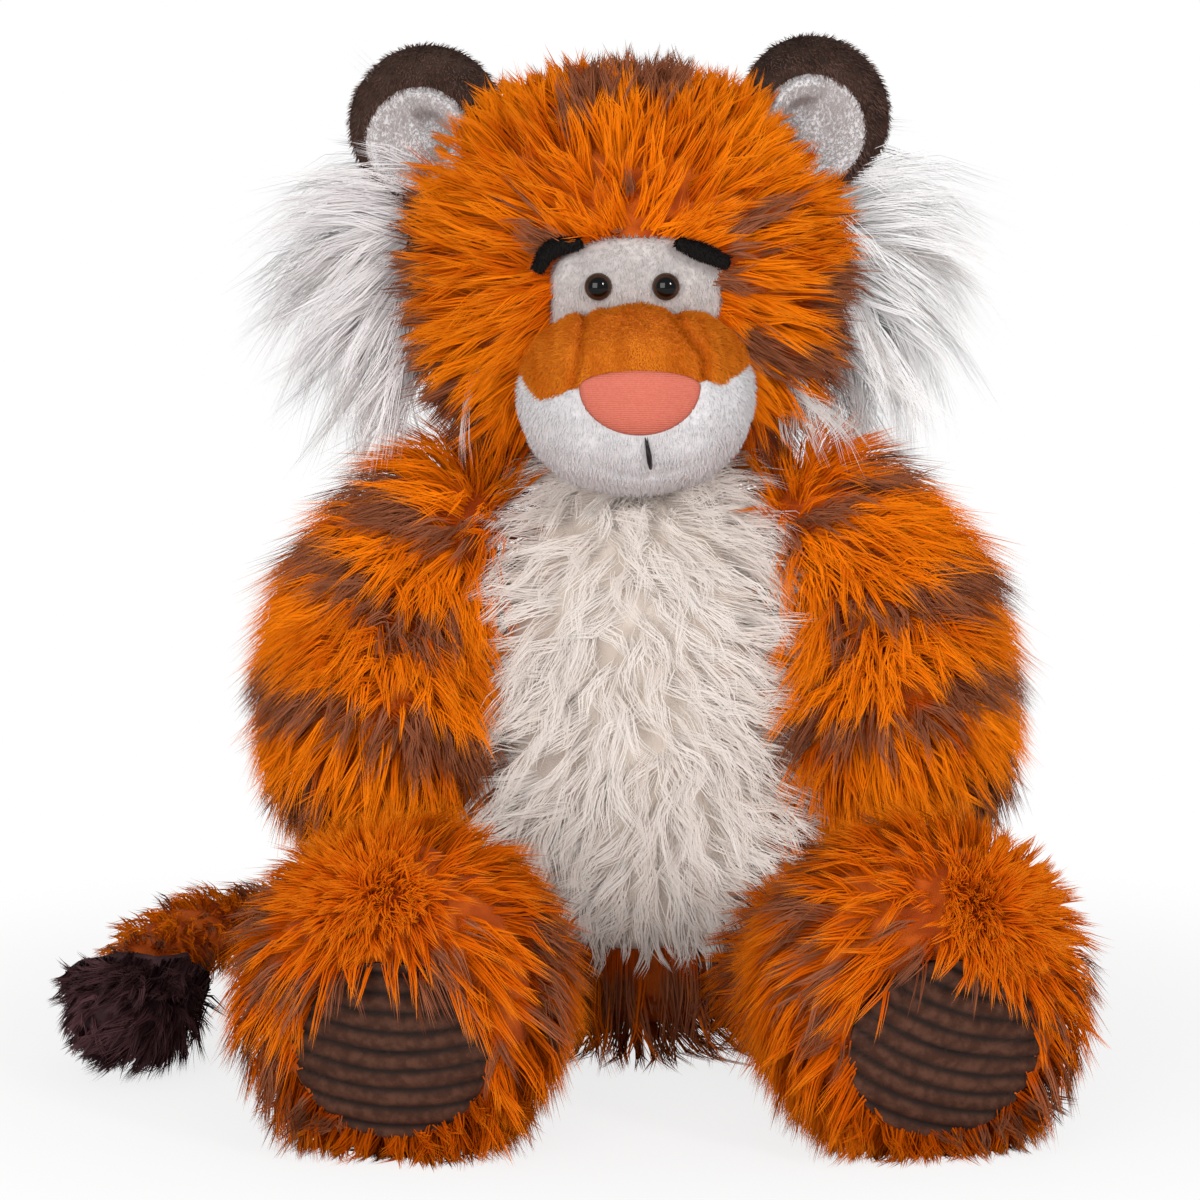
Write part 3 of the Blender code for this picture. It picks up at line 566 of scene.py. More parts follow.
def off_the_floor(places, normals):
    return (places[:, 2] > 0.006) | (normals[:, 2] > -0.6)


def tree_of(mesh):
    """A mesh in a form that is quick to search."""
    return BVHTree.FromPolygons(
        [tuple(vertex.co) for vertex in mesh.vertices], [tuple(face.vertices) for face in mesh.polygons]
    )


def free_of(*nodes):
    """A test for roots which aren't pressed against the pieces of some CAD nodes."""
    trees = [tree_of(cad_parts[node].data) for node in nodes]

    def is_free(places, normals):
        free = off_the_floor(places, normals)
        for k, probe in enumerate(places + normals * (BACKING + 0.0045)):
            for tree in trees:
                found, out, _, _ = tree.find_nearest(Vector(probe), 0.03)
                if found is not None and (Vector(probe) - found).dot(out) < 0:
                    free[k] = False
        return free

    return is_free


def speckled(places, seed, low=0.42, high=0.92):
    """Orange tints that drift from deep to bright over the cloth."""
    drift = 0.5 + 0.32 * ripple(places, 0.05, seed) + 0.22 * ripple(places, 0.014, seed + 1)
    own = random.normal(0, 0.16, len(places))
    return np.clip(low + (high - low) * (drift + own), STRIPE_SHARE + 0.03, 0.97)


def with_stripes(places, seed, brown, brightest=0.92):
    """Tints of a lock: brown where the brown value passes a wandering edge."""
    edge = 0.5 + 0.12 * ripple(places, 0.014, seed + 5) + random.normal(0, 0.07, len(places))
    brown_tint = np.clip(0.16 + random.normal(0, 0.06, len(places)), 0.02, STRIPE_SHARE - 0.03)
    return np.where(brown > edge, brown_tint, speckled(places, seed, high=brightest))


def band(distance, half_width):
    """1 in a stripe's middle and 0.5 at its edge."""
    return np.clip(1 - 0.5 * np.abs(distance) / half_width, 0, 1)


def torso_comb(places, normals):
    outward = unit(places * np.array([1.0, 1.0, 0.0]))
    shoulder = risen(places[:, 2], 0.21, 0.03)[:, None]
    seat = risen(places[:, 2], 0.075, -0.05)[:, None]
    return outward * (0.25 + shoulder + 1.2 * seat) + np.array([0.0, 0.0, -0.5])


def torso_tint(places, normals):
    heights = places[:, 2] + 0.010 * ripple(places, 0.09, 31)
    brown = np.zeros(len(places))
    for middle, half_width in TORSO_STRIPES:
        brown = np.maximum(brown, band(heights - middle, half_width))
    return with_stripes(places, 40, brown)


def torso_length(places):
    """The pile is longer on the shoulders, under the cheeks, and low in front of the seat."""
    shoulder = risen(places[:, 2], 0.215, 0.03)
    seat = risen(places[:, 2], 0.07, -0.03) * (places[:, 1] < -0.02)
    return PILE_LENGTH * (1 + 0.8 * shoulder + 1.3 * seat)


def shoulder_lean(places):
    """The pile stands up beside the neck, where the cheeks press on it."""
    beside_neck = risen(places[:, 2], 0.222, 0.02) * eased(np.abs(places[:, 0]), 0.088, 0.062)
    return 1 - 0.75 * beside_neck


off_torso_seams = free_of(
    "right_arm_cover", "left_arm_cover", "right_leg_cover", "left_leg_cover",
    "head_cover", "chin_panel", "tail_cover",
)
pile(
    "torso_pile", torso_skin, striped_pile, "torso", "striped_fur",
    2400, 7, torso_length, torso_comb, torso_tint, lean=shoulder_lean,
    keep=lambda places, normals: ~in_belly(places, -0.004) & off_torso_seams(places, normals),
)

# Belly panel
# A panel of shaggy cream cloth sewn into the torso's front. Its hair is longer and
# finer than the orange pile, and curls. Shorter tufts stand up under the chin.
CREAM_DARK = (0.74, 0.64, 0.575)
CREAM_LIGHT = (0.86, 0.785, 0.73)
BELLY_HAIR = 0.040
NECK_HAIR = 0.030
SHAGGY = {
    "gather": 0.60, "half": 0.00026, "lock_half": 0.0044, "points": 4, "curl": 0.14, "droop": 0.04,
    "roundness": 0.15, "lit_from": (0.0, -0.7, 0.4), "uneven": 0.28, "strand_spread": 6,
}


def panel_of(name, skin, inside, lift):
    """The part of a skin inside an outline, as a piece of cloth laid just over it."""
    made = placed(name, skin.data.copy())
    made.data.materials.clear()
    shape = bmesh.new()
    shape.from_mesh(made.data)
    centres = np.array([face.calc_center_median() for face in shape.faces])
    chosen = inside(centres)
    gone = [face for face, stays in zip(shape.faces, chosen) if not stays]
    bmesh.ops.delete(shape, geom=gone, context="FACES")
    shape.to_mesh(made.data)
    shape.free()
    move_vertices(made.data, vertex_places(made.data) + vertex_directions(made.data) * lift)
    return made


belly_skin = panel_of("belly_skin", torso_skin, in_belly, 0.0012)
modified(belly_skin, "SOLIDIFY", thickness=0.001)
cream_backing = backing_finish("cream_backing", (0.60, 0.51, 0.44), (0.70, 0.61, 0.54))
belly_skin.data.materials.append(cream_backing)
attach(belly_skin, "torso")
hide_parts("belly_panel")
cream_pile = pile_finish(
    "cream_pile", (CREAM_DARK, CREAM_LIGHT), (0.90, 0.84, 0.79), ((0.5, 0.42, 0.36), CREAM_DARK), 0.94, 0.72
)


def belly_comb(places, normals):
    """The hair falls and parts from the middle, and sweeps up and out at the upper corners."""
    sideways = places[:, 0] / 0.055 + 0.55 * ripple(places, 0.05, 61) + 0.35 * ripple(places, 0.022, 62)
    corner = eased(np.abs(places[:, 0]), 0.030, 0.056) * eased(places[:, 2], 0.195, 0.245)
    return np.stack([sideways * (1 + corner), np.zeros(len(places)), 2.2 * corner - 1.0], axis=1)


def belly_length(places):
    """The hair is shorter at the panel's lower end."""
    return BELLY_HAIR - 0.019 * risen(places[:, 2], 0.115, -0.05)


def belly_lean(places):
    """The hair stands up a little along the panel's sides, over the arms' pile."""
    return 1 - 0.32 * eased(np.abs(places[:, 0]), 0.034, 0.058)


def plain_tint(middle, drift, wavelength, seed, own, least=0.33):
    """Tints of a pile without stripes, which drift over the cloth and from lock to lock."""

    def tint(places, normals):
        wander = drift * ripple(places, wavelength, seed)
        return np.clip(middle + wander + random.normal(0, own, len(places)), least, 0.98)

    return tint


cream_tint = plain_tint(0.72, 0.12, 0.02, 65, 0.16)
pile(
    "belly_pile", belly_skin, cream_pile, "torso", "shaggy_cream_fur",
    1420, 14, belly_length, belly_comb, cream_tint, lean=belly_lean, rise=32, lie=80, spread=19, **SHAGGY,
)
pile(
    "neck_tufts", belly_skin, cream_pile, "torso", "shaggy_cream_fur",
    2600, 9, NECK_HAIR, belly_comb, cream_tint, rise=18, lie=66, spread=24,
    keep=lambda places, normals: (places[:, 2] > 0.232) & (np.abs(places[:, 0]) < 0.036), **SHAGGY,
)

# Head skin
# A round ball of the same backing cloth, closed at the neck. It goes on behind the
# white eye patch, and has no pile there.
head_skin = sewn_skin("head_skin", ["head_cover", "head_stuffing", "eye_patch"], TORSO_WEAVE, BACKING, 0.004)
head_skin.data.materials.append(shaded_orange_backing)
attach(head_skin, "head")
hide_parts("head_cover", "head_stuffing")

# Head pile
# The orange pile is combed away from the face all round, over the crown and cheeks to
# the back, and its tips are brown in patches on the brow, crown and cheeks.
HEAD_PILE = 0.031
FRINGE_HAIR = 0.024
HEAD_CENTRE = np.array([-0.005, 0.016, 0.345])
FACE_CENTRE = np.array([-0.003, -0.085, 0.335])
PATCH_HALF = 0.032  # half the width of the arch that stays bare for the eye patch
PATCH_TOP = 0.013
UNDER_BROWS = (((-0.0243, 0.3556), (-0.0436, 0.3445)), ((0.0163, 0.3560), (0.0382, 0.3475)))
UNDER_BROW_HALF = 0.0035
HEAD_STRIPES = (
    ((-0.040, 0.014), (-0.058, 0.040)),
    ((0.040, -0.006), (0.050, 0.014), (0.062, 0.036)),
    ((0.046, -0.034), (0.080, -0.040)),
    ((-0.104, 0.030), (-0.106, -0.018), (-0.092, -0.062), (-0.070, -0.080)),
    ((0.098, 0.024), (0.096, -0.020), (0.082, -0.062), (0.060, -0.078)),
    ((-0.030, 0.070), (-0.018, 0.084)),
)


def from_line(across, up, line):
    """How far places are from a line through some points."""
    nearest = np.full(len(across), 1.0)
    for (x0, z0), (x1, z1) in zip(line, line[1:]):
        run, rise = x1 - x0, z1 - z0
        share = np.clip(((across - x0) * run + (up - z0) * rise) / (run * run + rise * rise), 0, 1)
        nearest = np.minimum(nearest, np.hypot(across - x0 - share * run, up - z0 - share * rise))
    return nearest


def head_comb(places, normals):
    """The pile runs away from the face, down the back, and down and out under the cheeks."""
    away = unit(places - FACE_CENTRE)
    behind = risen(places[:, 1], 0.03, 0.05)[:, None]
    low = risen(places[:, 2], 0.305, -0.03)[:, None]
    aside = np.sign(places[:, :1] - HEAD_CENTRE[0]) * np.array([0.5, 0.0, 0.0])
    under = (aside - np.array([0.0, 0.0, 0.9])) * low
    return away * (1 - behind) + np.array([0.0, 0.25, -1.0]) * behind + under


def head_length(places):
    """The pile is longest on the cheeks and under them, and short by the left ear's lining."""
    aside = risen(np.abs(places[:, 0] - HEAD_CENTRE[0]), 0.03, 0.05)
    low = risen(places[:, 2], 0.300, -0.02)
    by_lining = eased(places[:, 0], 0.042, 0.062) * eased(places[:, 2], 0.370, 0.392)
    return (HEAD_PILE + 0.006 * aside + 0.015 * low) * (1 - 0.45 * by_lining)


def head_lean(places):
    """The pile stands up round the face, where it presses against the patch and muzzle."""
    from_face = np.hypot(places[:, 0] - FACE_CENTRE[0], places[:, 2] - FACE_CENTRE[2])
    return np.where(places[:, 1] < 0.0, 0.60 + 0.24 * eased(from_face, 0.036, 0.070), 0.90)


def head_tint(places, normals):
    """Brown lines on the brow, a spot on the crown, patches on the cheeks and bands behind."""
    across = places[:, 0] + 0.004 * ripple(places, 0.04, 71)
    up = places[:, 2] - HEAD_CENTRE[2] + 0.004 * ripple(places, 0.05, 72)
    brown = 0.9 * band(across + 0.002, 0.0042) * (up > 0.014) * (up < 0.048)
    brown = np.maximum(brown, band(np.hypot(across - 0.008, (up - 0.088) * 1.8), 0.016))
    for line in HEAD_STRIPES:
        stripe = 0.92 * band(from_line(across, up, line), 0.0072) * (places[:, 1] < 0.035)
        brown = np.maximum(brown, stripe)
    back = band(((up + 0.2) % 0.045) - 0.0225, 0.007) * (places[:, 1] > 0.03)
    return with_stripes(places, 80, np.maximum(brown, back))


def bare_face(places, grow=0.0):
    """The eye patch and what the muzzle covers, less the edges under the long pile."""
    across = np.abs(places[:, 0] - FACE_CENTRE[0]) - grow
    up = places[:, 2] - HEAD_CENTRE[2]
    up = np.where(up > -0.05, up - grow, up)
    arch = (np.maximum(across, 0) / PATCH_HALF) ** 2.6 + (np.maximum(up, 0) / PATCH_TOP) ** 2.6 < 1
    arch &= across >= 0  # a grown arch leaves out its middle, where no fringe is wanted
    muzzle = (across / 0.044) ** 2 + ((up + 0.052) / 0.036) ** 2 < 1
    return (places[:, 1] < 0) & ((arch & (up > -0.035)) | muzzle)


def by_brow(places):
    """A strip under the lower half of each brow, where no hair is rooted."""
    under = np.zeros(len(places), bool)
    for line in UNDER_BROWS:
        under |= from_line(places[:, 0], places[:, 2], line) < UNDER_BROW_HALF
    return under & (places[:, 1] < 0)


def face_fringe(places, normals):
    return bare_face(places, 0.008) & ~bare_face(places, 0.0015) & ~by_brow(places)


off_head_seams = free_of("torso_cover", "right_ear", "left_ear")
pile(
    "head_pile", head_skin, striped_pile, "head", "striped_fur",
    4500, 7, head_length, head_comb, head_tint, lean=head_lean,
    keep=lambda places, normals: ~bare_face(places) & ~by_brow(places) & off_head_seams(places, normals),
)
pile(
    "head_fringe", head_skin, striped_pile, "head", "striped_fur",
    12000, 7, FRINGE_HAIR, head_comb, head_tint, keep=face_fringe, lean=head_lean, curl=0.0,
)

# Eye patch
# A patch of short white plush is sewn into the head's front. Its cut edge lies under
# the long pile round it.
WHITE_DARK = (0.70, 0.67, 0.68)
WHITE_LIGHT = (0.79, 0.77, 0.78)
# The eye patch's plush and backing are painted greyer than the chin's white: painted shade of its recess
# under the long pile.
PATCH_DARK = (0.50, 0.455, 0.44)
PATCH_LIGHT = (0.62, 0.57, 0.55)
PLUSH_LENGTH = 0.0030
PLUSH_HALF = 0.00028
eye_patch = sewn_skin("eye_patch_cloth", ["eye_patch"], 0.0020, 0.0004, 0.001, easing=30)
white_backing = backing_finish("white_backing", WHITE_DARK, WHITE_LIGHT)
eye_patch.data.materials.append(backing_finish("shaded_patch_backing", PATCH_DARK, PATCH_LIGHT))
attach(eye_patch, "head")
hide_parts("eye_patch")
shaded_patch_plush = pile_finish(
    "shaded_patch_plush", (PATCH_DARK, PATCH_LIGHT), (0.66, 0.61, 0.58), ((0.5, 0.46, 0.44),) * 2, 0.95
)
white_plush = pile_finish(
    "white_plush", (WHITE_DARK, WHITE_LIGHT), (0.86, 0.84, 0.85), (WHITE_DARK, WHITE_DARK), 0.95
)
white_tint = plain_tint(0.72, 0.08, 0.02, 91, 0.1, 0.35)


def one_way(*direction):
    """A comb that lays the whole pile in one direction."""
    return lambda places, normals: np.tile(direction, (len(places), 1))


falling = one_way(0.0, -0.2, -1.0)


def faces_front(places, normals):
    return normals[:, 1] < 0.3


def short_pile(name, cloth, finish, body, slot, count, comb, tint, length=PLUSH_LENGTH, keep=faces_front):
    """Short straight pile, one strand at a time."""
    pile(
        name, cloth, finish, body, slot, count, 1, length, comb, tint, rise=36, lie=50, half=PLUSH_HALF,
        lock_half=0.0, points=2, keep=keep, curl=0.0, droop=0.0, spread=20, roundness=0.12,
    )


short_pile("eye_patch_pile", eye_patch, shaded_patch_plush, "head", "short_white_plush", 7000, falling, white_tint)

# Muzzle
# Four panels of short plush, sewn edge to edge and stuffed: an orange-brown bridge,
# two tops beside it, and a white chin panel that runs up round both cheeks.
MUZZLE_WEAVE = 0.0022
MUZZLE_MIDDLE = (-0.001, 0.293)
MUZZLE_FULLER = (1.035, 1.10)  # the plush stands this much fuller than its cloth
BROWN_EDGE = (
    (-0.0503, 0.3010), (-0.0422, 0.2914), (-0.0294, 0.2966), (-0.0166, 0.2996),
    (0.0261, 0.2996), (0.0290, 0.3004), (0.0355, 0.2987), (0.0504, 0.3075),
)
RIGHT_SEAM = ((0.2960, -0.0290), (0.3322, -0.0217))
LEFT_SEAM = ((0.2960, 0.0285), (0.3105, 0.0285), (0.3305, 0.0131))
NOSE_MIDDLE = (0.0003, 0.2978)
NOSE_HALF_WIDTH = 0.0258
NOSE_OVER = 0.0070
NOSE_UNDER = 0.0206
SEAM_DEPTH = 0.0016
SEAM_HALF = 0.0024
SMILE_MIDDLE = (0.002, 0.2585)
SMILE_RISE = 14.0  # how fast the mouth's crease rises on both sides
CLOTH_WALL = 0.0012
BROWN_DARK = (0.60, 0.115, 0.004)


def edge_height(across):
    return np.interp(across, *zip(*BROWN_EDGE))


def off_seam(places, seam):
    """How far places lie to the left of one of the two seams beside the bridge."""
    return places[:, 0] - np.interp(places[:, 2], *zip(*seam))


def muzzle_panel_of(places):
    """0 for the chin, 1 for the bridge, 2 and 3 for the right and left tops."""
    top = np.where(off_seam(places, RIGHT_SEAM) < 0, 2, np.where(off_seam(places, LEFT_SEAM) > 0, 3, 1))
    return np.where(places[:, 2] < edge_height(places[:, 0]), 0, top)


def dip(distance, half):
    return np.exp(-((distance / half) ** 2))


def seam_dips(places):
    return dip(off_seam(places, RIGHT_SEAM), SEAM_HALF) + dip(off_seam(places, LEFT_SEAM), SEAM_HALF)


muzzle_whole = sewn_skin(
    "muzzle_whole", ["muzzle_bridge", "muzzle_right_top", "muzzle_left_top", "chin_panel", "muzzle_stuffing"],
    MUZZLE_WEAVE, 0.0002, 0.002, easing=26,
)
places = vertex_places(muzzle_whole.data)
for axis, middle, fuller in zip((0, 2), MUZZLE_MIDDLE, MUZZLE_FULLER):
    places[:, axis] = middle + (places[:, axis] - middle) * fuller
move_vertices(muzzle_whole.data, places)
modified(muzzle_whole, "SUBSURF", levels=1, render_levels=1)
muzzle_tree = tree_of(muzzle_whole.data)


def on_muzzle(across, up):
    """The muzzle's surface seen from the front at a place, and the direction out of it."""
    return muzzle_tree.ray_cast(Vector((across, -0.3, up)), Vector((0, 1, 0)))[:2]


places = vertex_places(muzzle_whole.data)
normals = vertex_directions(muzzle_whole.data)
over_edge = places[:, 2] - edge_height(places[:, 0])
places[:, 2] -= np.where(np.abs(over_edge) < 0.0006, over_edge, 0)
over_edge = places[:, 2] - edge_height(places[:, 0])
from_smile = places[:, 0] - SMILE_MIDDLE[0]
sunk = 1.6 * seam_dips(places) * risen(over_edge, 0, 0.003)
sunk += 0.6 * dip(over_edge, SEAM_HALF)
smile = dip(places[:, 2] - SMILE_MIDDLE[1] - SMILE_RISE * from_smile**2, 0.0016)
sunk += 0.45 * smile * np.clip(1.6 - np.abs(from_smile) / 0.016, 0, 1)
sunk *= risen(places[:, 1], 0, -0.04) * SEAM_DEPTH
move_vertices(muzzle_whole.data, places - normals * sunk[:, None])


def under_nose(places):
    """The place that the nose covers, where the plush is cut away."""
    across = (places[:, 0] - NOSE_MIDDLE[0]) / (NOSE_HALF_WIDTH - 0.0008)
    up = places[:, 2] - NOSE_MIDDLE[1]
    up = up / (np.where(up > 0, NOSE_OVER, NOSE_UNDER) - 0.0008)
    return (across**2 + up**2 < 1) & (places[:, 1] < -0.05)


def brown_plush_tint(places, normals):
    own = random.normal(0, 0.03, len(places))
    drift = 0.16 * ripple(places, 0.03, 95) + 0.10 * ripple(places, 0.008, 96)
    # The tint drops along the two seams beside the bridge: painted shade in their creases.
    return np.clip(0.64 + drift + own - 0.34 * seam_dips(places), 0.33, 0.98)


def muzzle_comb(places, normals):
    return unit(places - np.array([0.0, -0.06, 0.345])) + np.array([0.0, -0.2, -0.7])


brown_plush = pile_finish(
    "brown_plush", (BROWN_DARK, (0.92, 0.275, 0.020)), (0.90, 0.29, 0.035), (BROWN_DARK, BROWN_DARK), 0.92
)
brown_backing = backing_finish("brown_backing", (0.56, 0.125, 0.008), (0.66, 0.165, 0.012))
white_panel = (white_backing, white_plush, "short_white_plush", white_tint)
brown_panel = (brown_backing, brown_plush, "short_brown_plush", brown_plush_tint)
muzzle_panels = (
    ("chin_panel", 12500, white_panel), ("muzzle_bridge", 12500, brown_panel),
    ("muzzle_right_top", 6500, brown_panel), ("muzzle_left_top", 6500, brown_panel),
)
for number, (node, count, (backing, plush, slot, tint)) in enumerate(muzzle_panels):
    cloth = panel_of(node + "_cloth", muzzle_whole, lambda centres: muzzle_panel_of(centres) == number, 0.0)
    short_pile(
        node + "_pile", cloth, plush, "head", slot, count, muzzle_comb, tint,
        keep=lambda places, normals: (normals[:, 1] < 0.7) & ~under_nose(places),
    )
    modified(cloth, "DECIMATE", ratio=0.5)
    modified(cloth, "SOLIDIFY", thickness=CLOTH_WALL)
    cloth.data.materials.append(backing)
    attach(cloth, "head")
    if number == 0:
        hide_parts(node, "muzzle_stuffing")
    else:
        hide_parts(node)

# Nose
# A padded piece of fine salmon knit, flat on top and round below, sewn over the front
# of the muzzle.
NOSE_DOME = 0.0042
NOSE_RINGS = 22
NOSE_SPOKES = 96


def disc(name, rings, spokes, place_of):
    """A round sheet. place_of gives the point at a share of the way out, at an angle."""
    shape = bmesh.new()
    rows = []
    for ring in range(rings + 1):
        angles = [2 * math.pi * spoke / spokes for spoke in range(spokes if ring else 1)]
        rows.append([shape.verts.new(place_of(ring / rings, angle)) for angle in angles])
    for spoke in range(spokes):
        after = (spoke + 1) % spokes
        shape.faces.new((rows[0][0], rows[1][spoke], rows[1][after]))
        for ring in range(1, rings):
            inner, outer = rows[ring], rows[ring + 1]
            shape.faces.new((inner[spoke], outer[spoke], outer[after], inner[after]))
    mesh = bpy.data.meshes.new(name)
    shape.to_mesh(mesh)
    shape.free()
    return placed(name, mesh)


def nose_place(share, angle):
    height = NOSE_OVER if math.sin(angle) > 0 else NOSE_UNDER
    across = NOSE_MIDDLE[0] + NOSE_HALF_WIDTH * share * math.cos(angle)
    place, out = on_muzzle(across, NOSE_MIDDLE[1] + height * share * math.sin(angle))
    lift = NOSE_DOME * (1 - share**3) ** 0.5 + 0.0002
    return place + (out * 0.4 + Vector((0, -0.6, 0))) * lift


nose = disc("nose_pad", NOSE_RINGS, NOSE_SPOKES, nose_place)
modified(nose, "SOLIDIFY", thickness=0.0016)
smoothed(nose)
bpy.data.objects.remove(muzzle_whole)

knit, knit_tree, knit_surface = new_finish("salmon_knit", 0.85)
knit_rows = {"Vector": object_place(knit_tree), "Scale": 380, "Distortion": 2.5}
knit_rows = add_node(knit_tree, "TexWave", knit_rows, bands_direction="Z").outputs["Fac"]
knit_colour = mixed(knit_tree, knit_rows, (0.60, 0.135, 0.085), (0.68, 0.170, 0.112))
knit_wear = ramped(knit_tree, plain_noise(knit_tree, 900), 0.3, 0.7, 0.0, 0.35)
worn_knit = mixed(knit_tree, knit_wear, knit_colour, (0.74, 0.24, 0.17))
knit_tree.links.new(worn_knit, knit_surface.inputs["Base Color"])
knit_tree.links.new(bumped(knit_tree, knit_rows, 0.6, 0.0003), knit_surface.inputs["Normal"])
nose.data.materials.append(knit)
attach(nose, "head")
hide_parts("nose")

# Mouth
# One long stitch of thick black thread runs down from the nose and pulls the plush in.
MOUTH_TOP = (0.0029, 0.2762)
MOUTH_END = (0.0050, 0.2622)
MOUTH_STEPS = 8
THREAD_RADIUS = 0.0011


def tube(name, points, radii, twist=8):
    """A round tube through some points, with closed round ends."""
    curve = bpy.data.curves.new(name, "CURVE")
    curve.dimensions = "3D"
    curve.bevel_depth = 1.0
    curve.bevel_resolution = 3
    curve.resolution_u = twist
    curve.use_fill_caps = True
    spline = curve.splines.new("NURBS")
    spline.points.add(len(points) - 1)
    spline.use_endpoint_u = True
    spline.order_u = 3
    for target, place, radius in zip(spline.points, points, radii):
        target.co = (*place, 1)
        target.radius = radius
    pick_only(placed(name, curve))
    bpy.ops.object.convert(target="MESH")
    bpy.ops.object.shade_smooth()
    return bpy.context.active_object


mouth_points = []
mouth_radii = []
for step in range(MOUTH_STEPS + 1):
    share = step / MOUTH_STEPS
    bow = math.sin(math.pi * share)
    across = MOUTH_TOP[0] + (MOUTH_END[0] - MOUTH_TOP[0]) * share
    place, out = on_muzzle(across, MOUTH_TOP[1] + (MOUTH_END[1] - MOUTH_TOP[1]) * share)
    mouth_points.append(place + out * (0.0022 * bow**0.5))
    mouth_radii.append(THREAD_RADIUS * (0.55 + 0.45 * bow))
mouth = tube("mouth_thread", mouth_points, mouth_radii)
thread, thread_tree, thread_surface = new_finish("black_thread", 0.6)
plies = {"Vector": object_place(thread_tree), "Scale": 260}
plies = add_node(thread_tree, "TexWave", plies, bands_direction="DIAGONAL").outputs["Fac"]
thread_colour = mixed(thread_tree, plies, (0.006, 0.005, 0.005), (0.03, 0.026, 0.024))
thread_tree.links.new(thread_colour, thread_surface.inputs["Base Color"])
thread_tree.links.new(bumped(thread_tree, plies, 0.8, 0.0003), thread_surface.inputs["Normal"])
mouth.data.materials.append(thread)
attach(mouth, "head")
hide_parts("mouth_stitch")

# Eyes
# Two moulded safety eyes: a glossy dome, black in the middle with a dark brown ring,
# on a post that goes through the cloth into a washer.
EYE_RADIUS = 0.0060
EYE_DOME = 0.0046
POST_RADIUS = 0.0019
POST_LENGTH = 0.014
LOOK = Vector((math.sin(math.radians(3)), -math.cos(math.radians(3)), 0))
ON_ITS_BACK = np.array([1.0, -1.0, 1.0])


def eye_finish(name, middle):
    """Black, with a dark brown ring and a paler edge round the middle of the eye."""
    made, tree, surface = new_finish(name, 0.05, 0.28)
    apart = add_node(tree, "VectorMath", {0: object_place(tree), 1: middle}, operation="SUBTRACT").outputs[0]
    flat = add_node(tree, "VectorMath", {0: apart, 1: (1, 0, 1)}, operation="MULTIPLY").outputs[0]
    far = add_node(tree, "VectorMath", {0: flat}, operation="LENGTH").outputs["Value"]
    iris = ramped(tree, far, 0.0038, 0.0048, 0.0, 1.0)
    rim = ramped(tree, far, 0.0052, 0.0056, 0.0, 1.0)
    streaks = ramped(tree, plain_noise(tree, 900), 0.3, 0.7, 0.0, 0.5)
    brown = mixed(tree, streaks, (0.040, 0.019, 0.011), (0.068, 0.033, 0.020))
    inner = mixed(tree, iris, (0.001, 0.001, 0.001), brown)
    tree.links.new(mixed(tree, rim, inner, (0.060, 0.042, 0.034)), surface.inputs["Base Color"])
    return made


for side in ("right", "left"):
    low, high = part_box(side + "_eye")
    base = Vector(((low[0] + high[0]) / 2, low[1] + EYE_DOME, (low[2] + high[2]) / 2))
    bpy.ops.object.select_all(action="DESELECT")
    bpy.ops.mesh.primitive_uv_sphere_add(segments=48, ring_count=32, radius=EYE_RADIUS)
    dome = bpy.context.active_object
    dome.name = side + "_eye_dome"
    ball = vertex_places(dome.data)[:, [0, 2, 1]] * ON_ITS_BACK
    ball[:, 1] *= np.where(ball[:, 1] < 0, EYE_DOME / EYE_RADIUS, 0.2)
    bpy.ops.mesh.primitive_cylinder_add(vertices=16, radius=POST_RADIUS, depth=POST_LENGTH)
    post = bpy.context.active_object
    stem = vertex_places(post.data)[:, [0, 2, 1]] * ON_ITS_BACK + np.array([0.0, POST_LENGTH / 2, 0.0])
    for part, shape in ((dome, ball), (post, stem)):
        turned = np.outer(shape[:, 0], (-LOOK.y, LOOK.x, 0.0)) - np.outer(shape[:, 1], LOOK)
        turned[:, 2] += shape[:, 2]
        move_vertices(part.data, turned + np.array(base))
    pick_only(dome, post)
    bpy.ops.object.join()
    dome.data.materials.clear()
    dome.data.materials.append(eye_finish(side + "_eye_plastic", base))
    bpy.ops.object.shade_smooth()
    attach(dome, "head")
    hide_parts(side + "_eye")

# Eye washers
# A white plastic washer is pressed onto each eye's post behind the cloth. It is the
# CAD solid itself in moulded plastic.
washer_plastic, washer_tree, washer_surface = new_finish("washer_plastic", 0.45)
flow_marks = ramped(washer_tree, plain_noise(washer_tree, 300), 0.3, 0.7, 0.0, 1.0)
washer_colour = mixed(washer_tree, flow_marks, (0.66, 0.66, 0.64), (0.74, 0.74, 0.73))
washer_tree.links.new(washer_colour, washer_surface.inputs["Base Color"])
washer_grain = bumped(washer_tree, plain_noise(washer_tree, 700), 0.2, 0.0002)
washer_tree.links.new(washer_grain, washer_surface.inputs["Normal"])
for side in ("right", "left"):
    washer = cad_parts[side + "_eye_washer"]
    washer.data.materials.clear()
    washer.data.materials.append(washer_plastic)

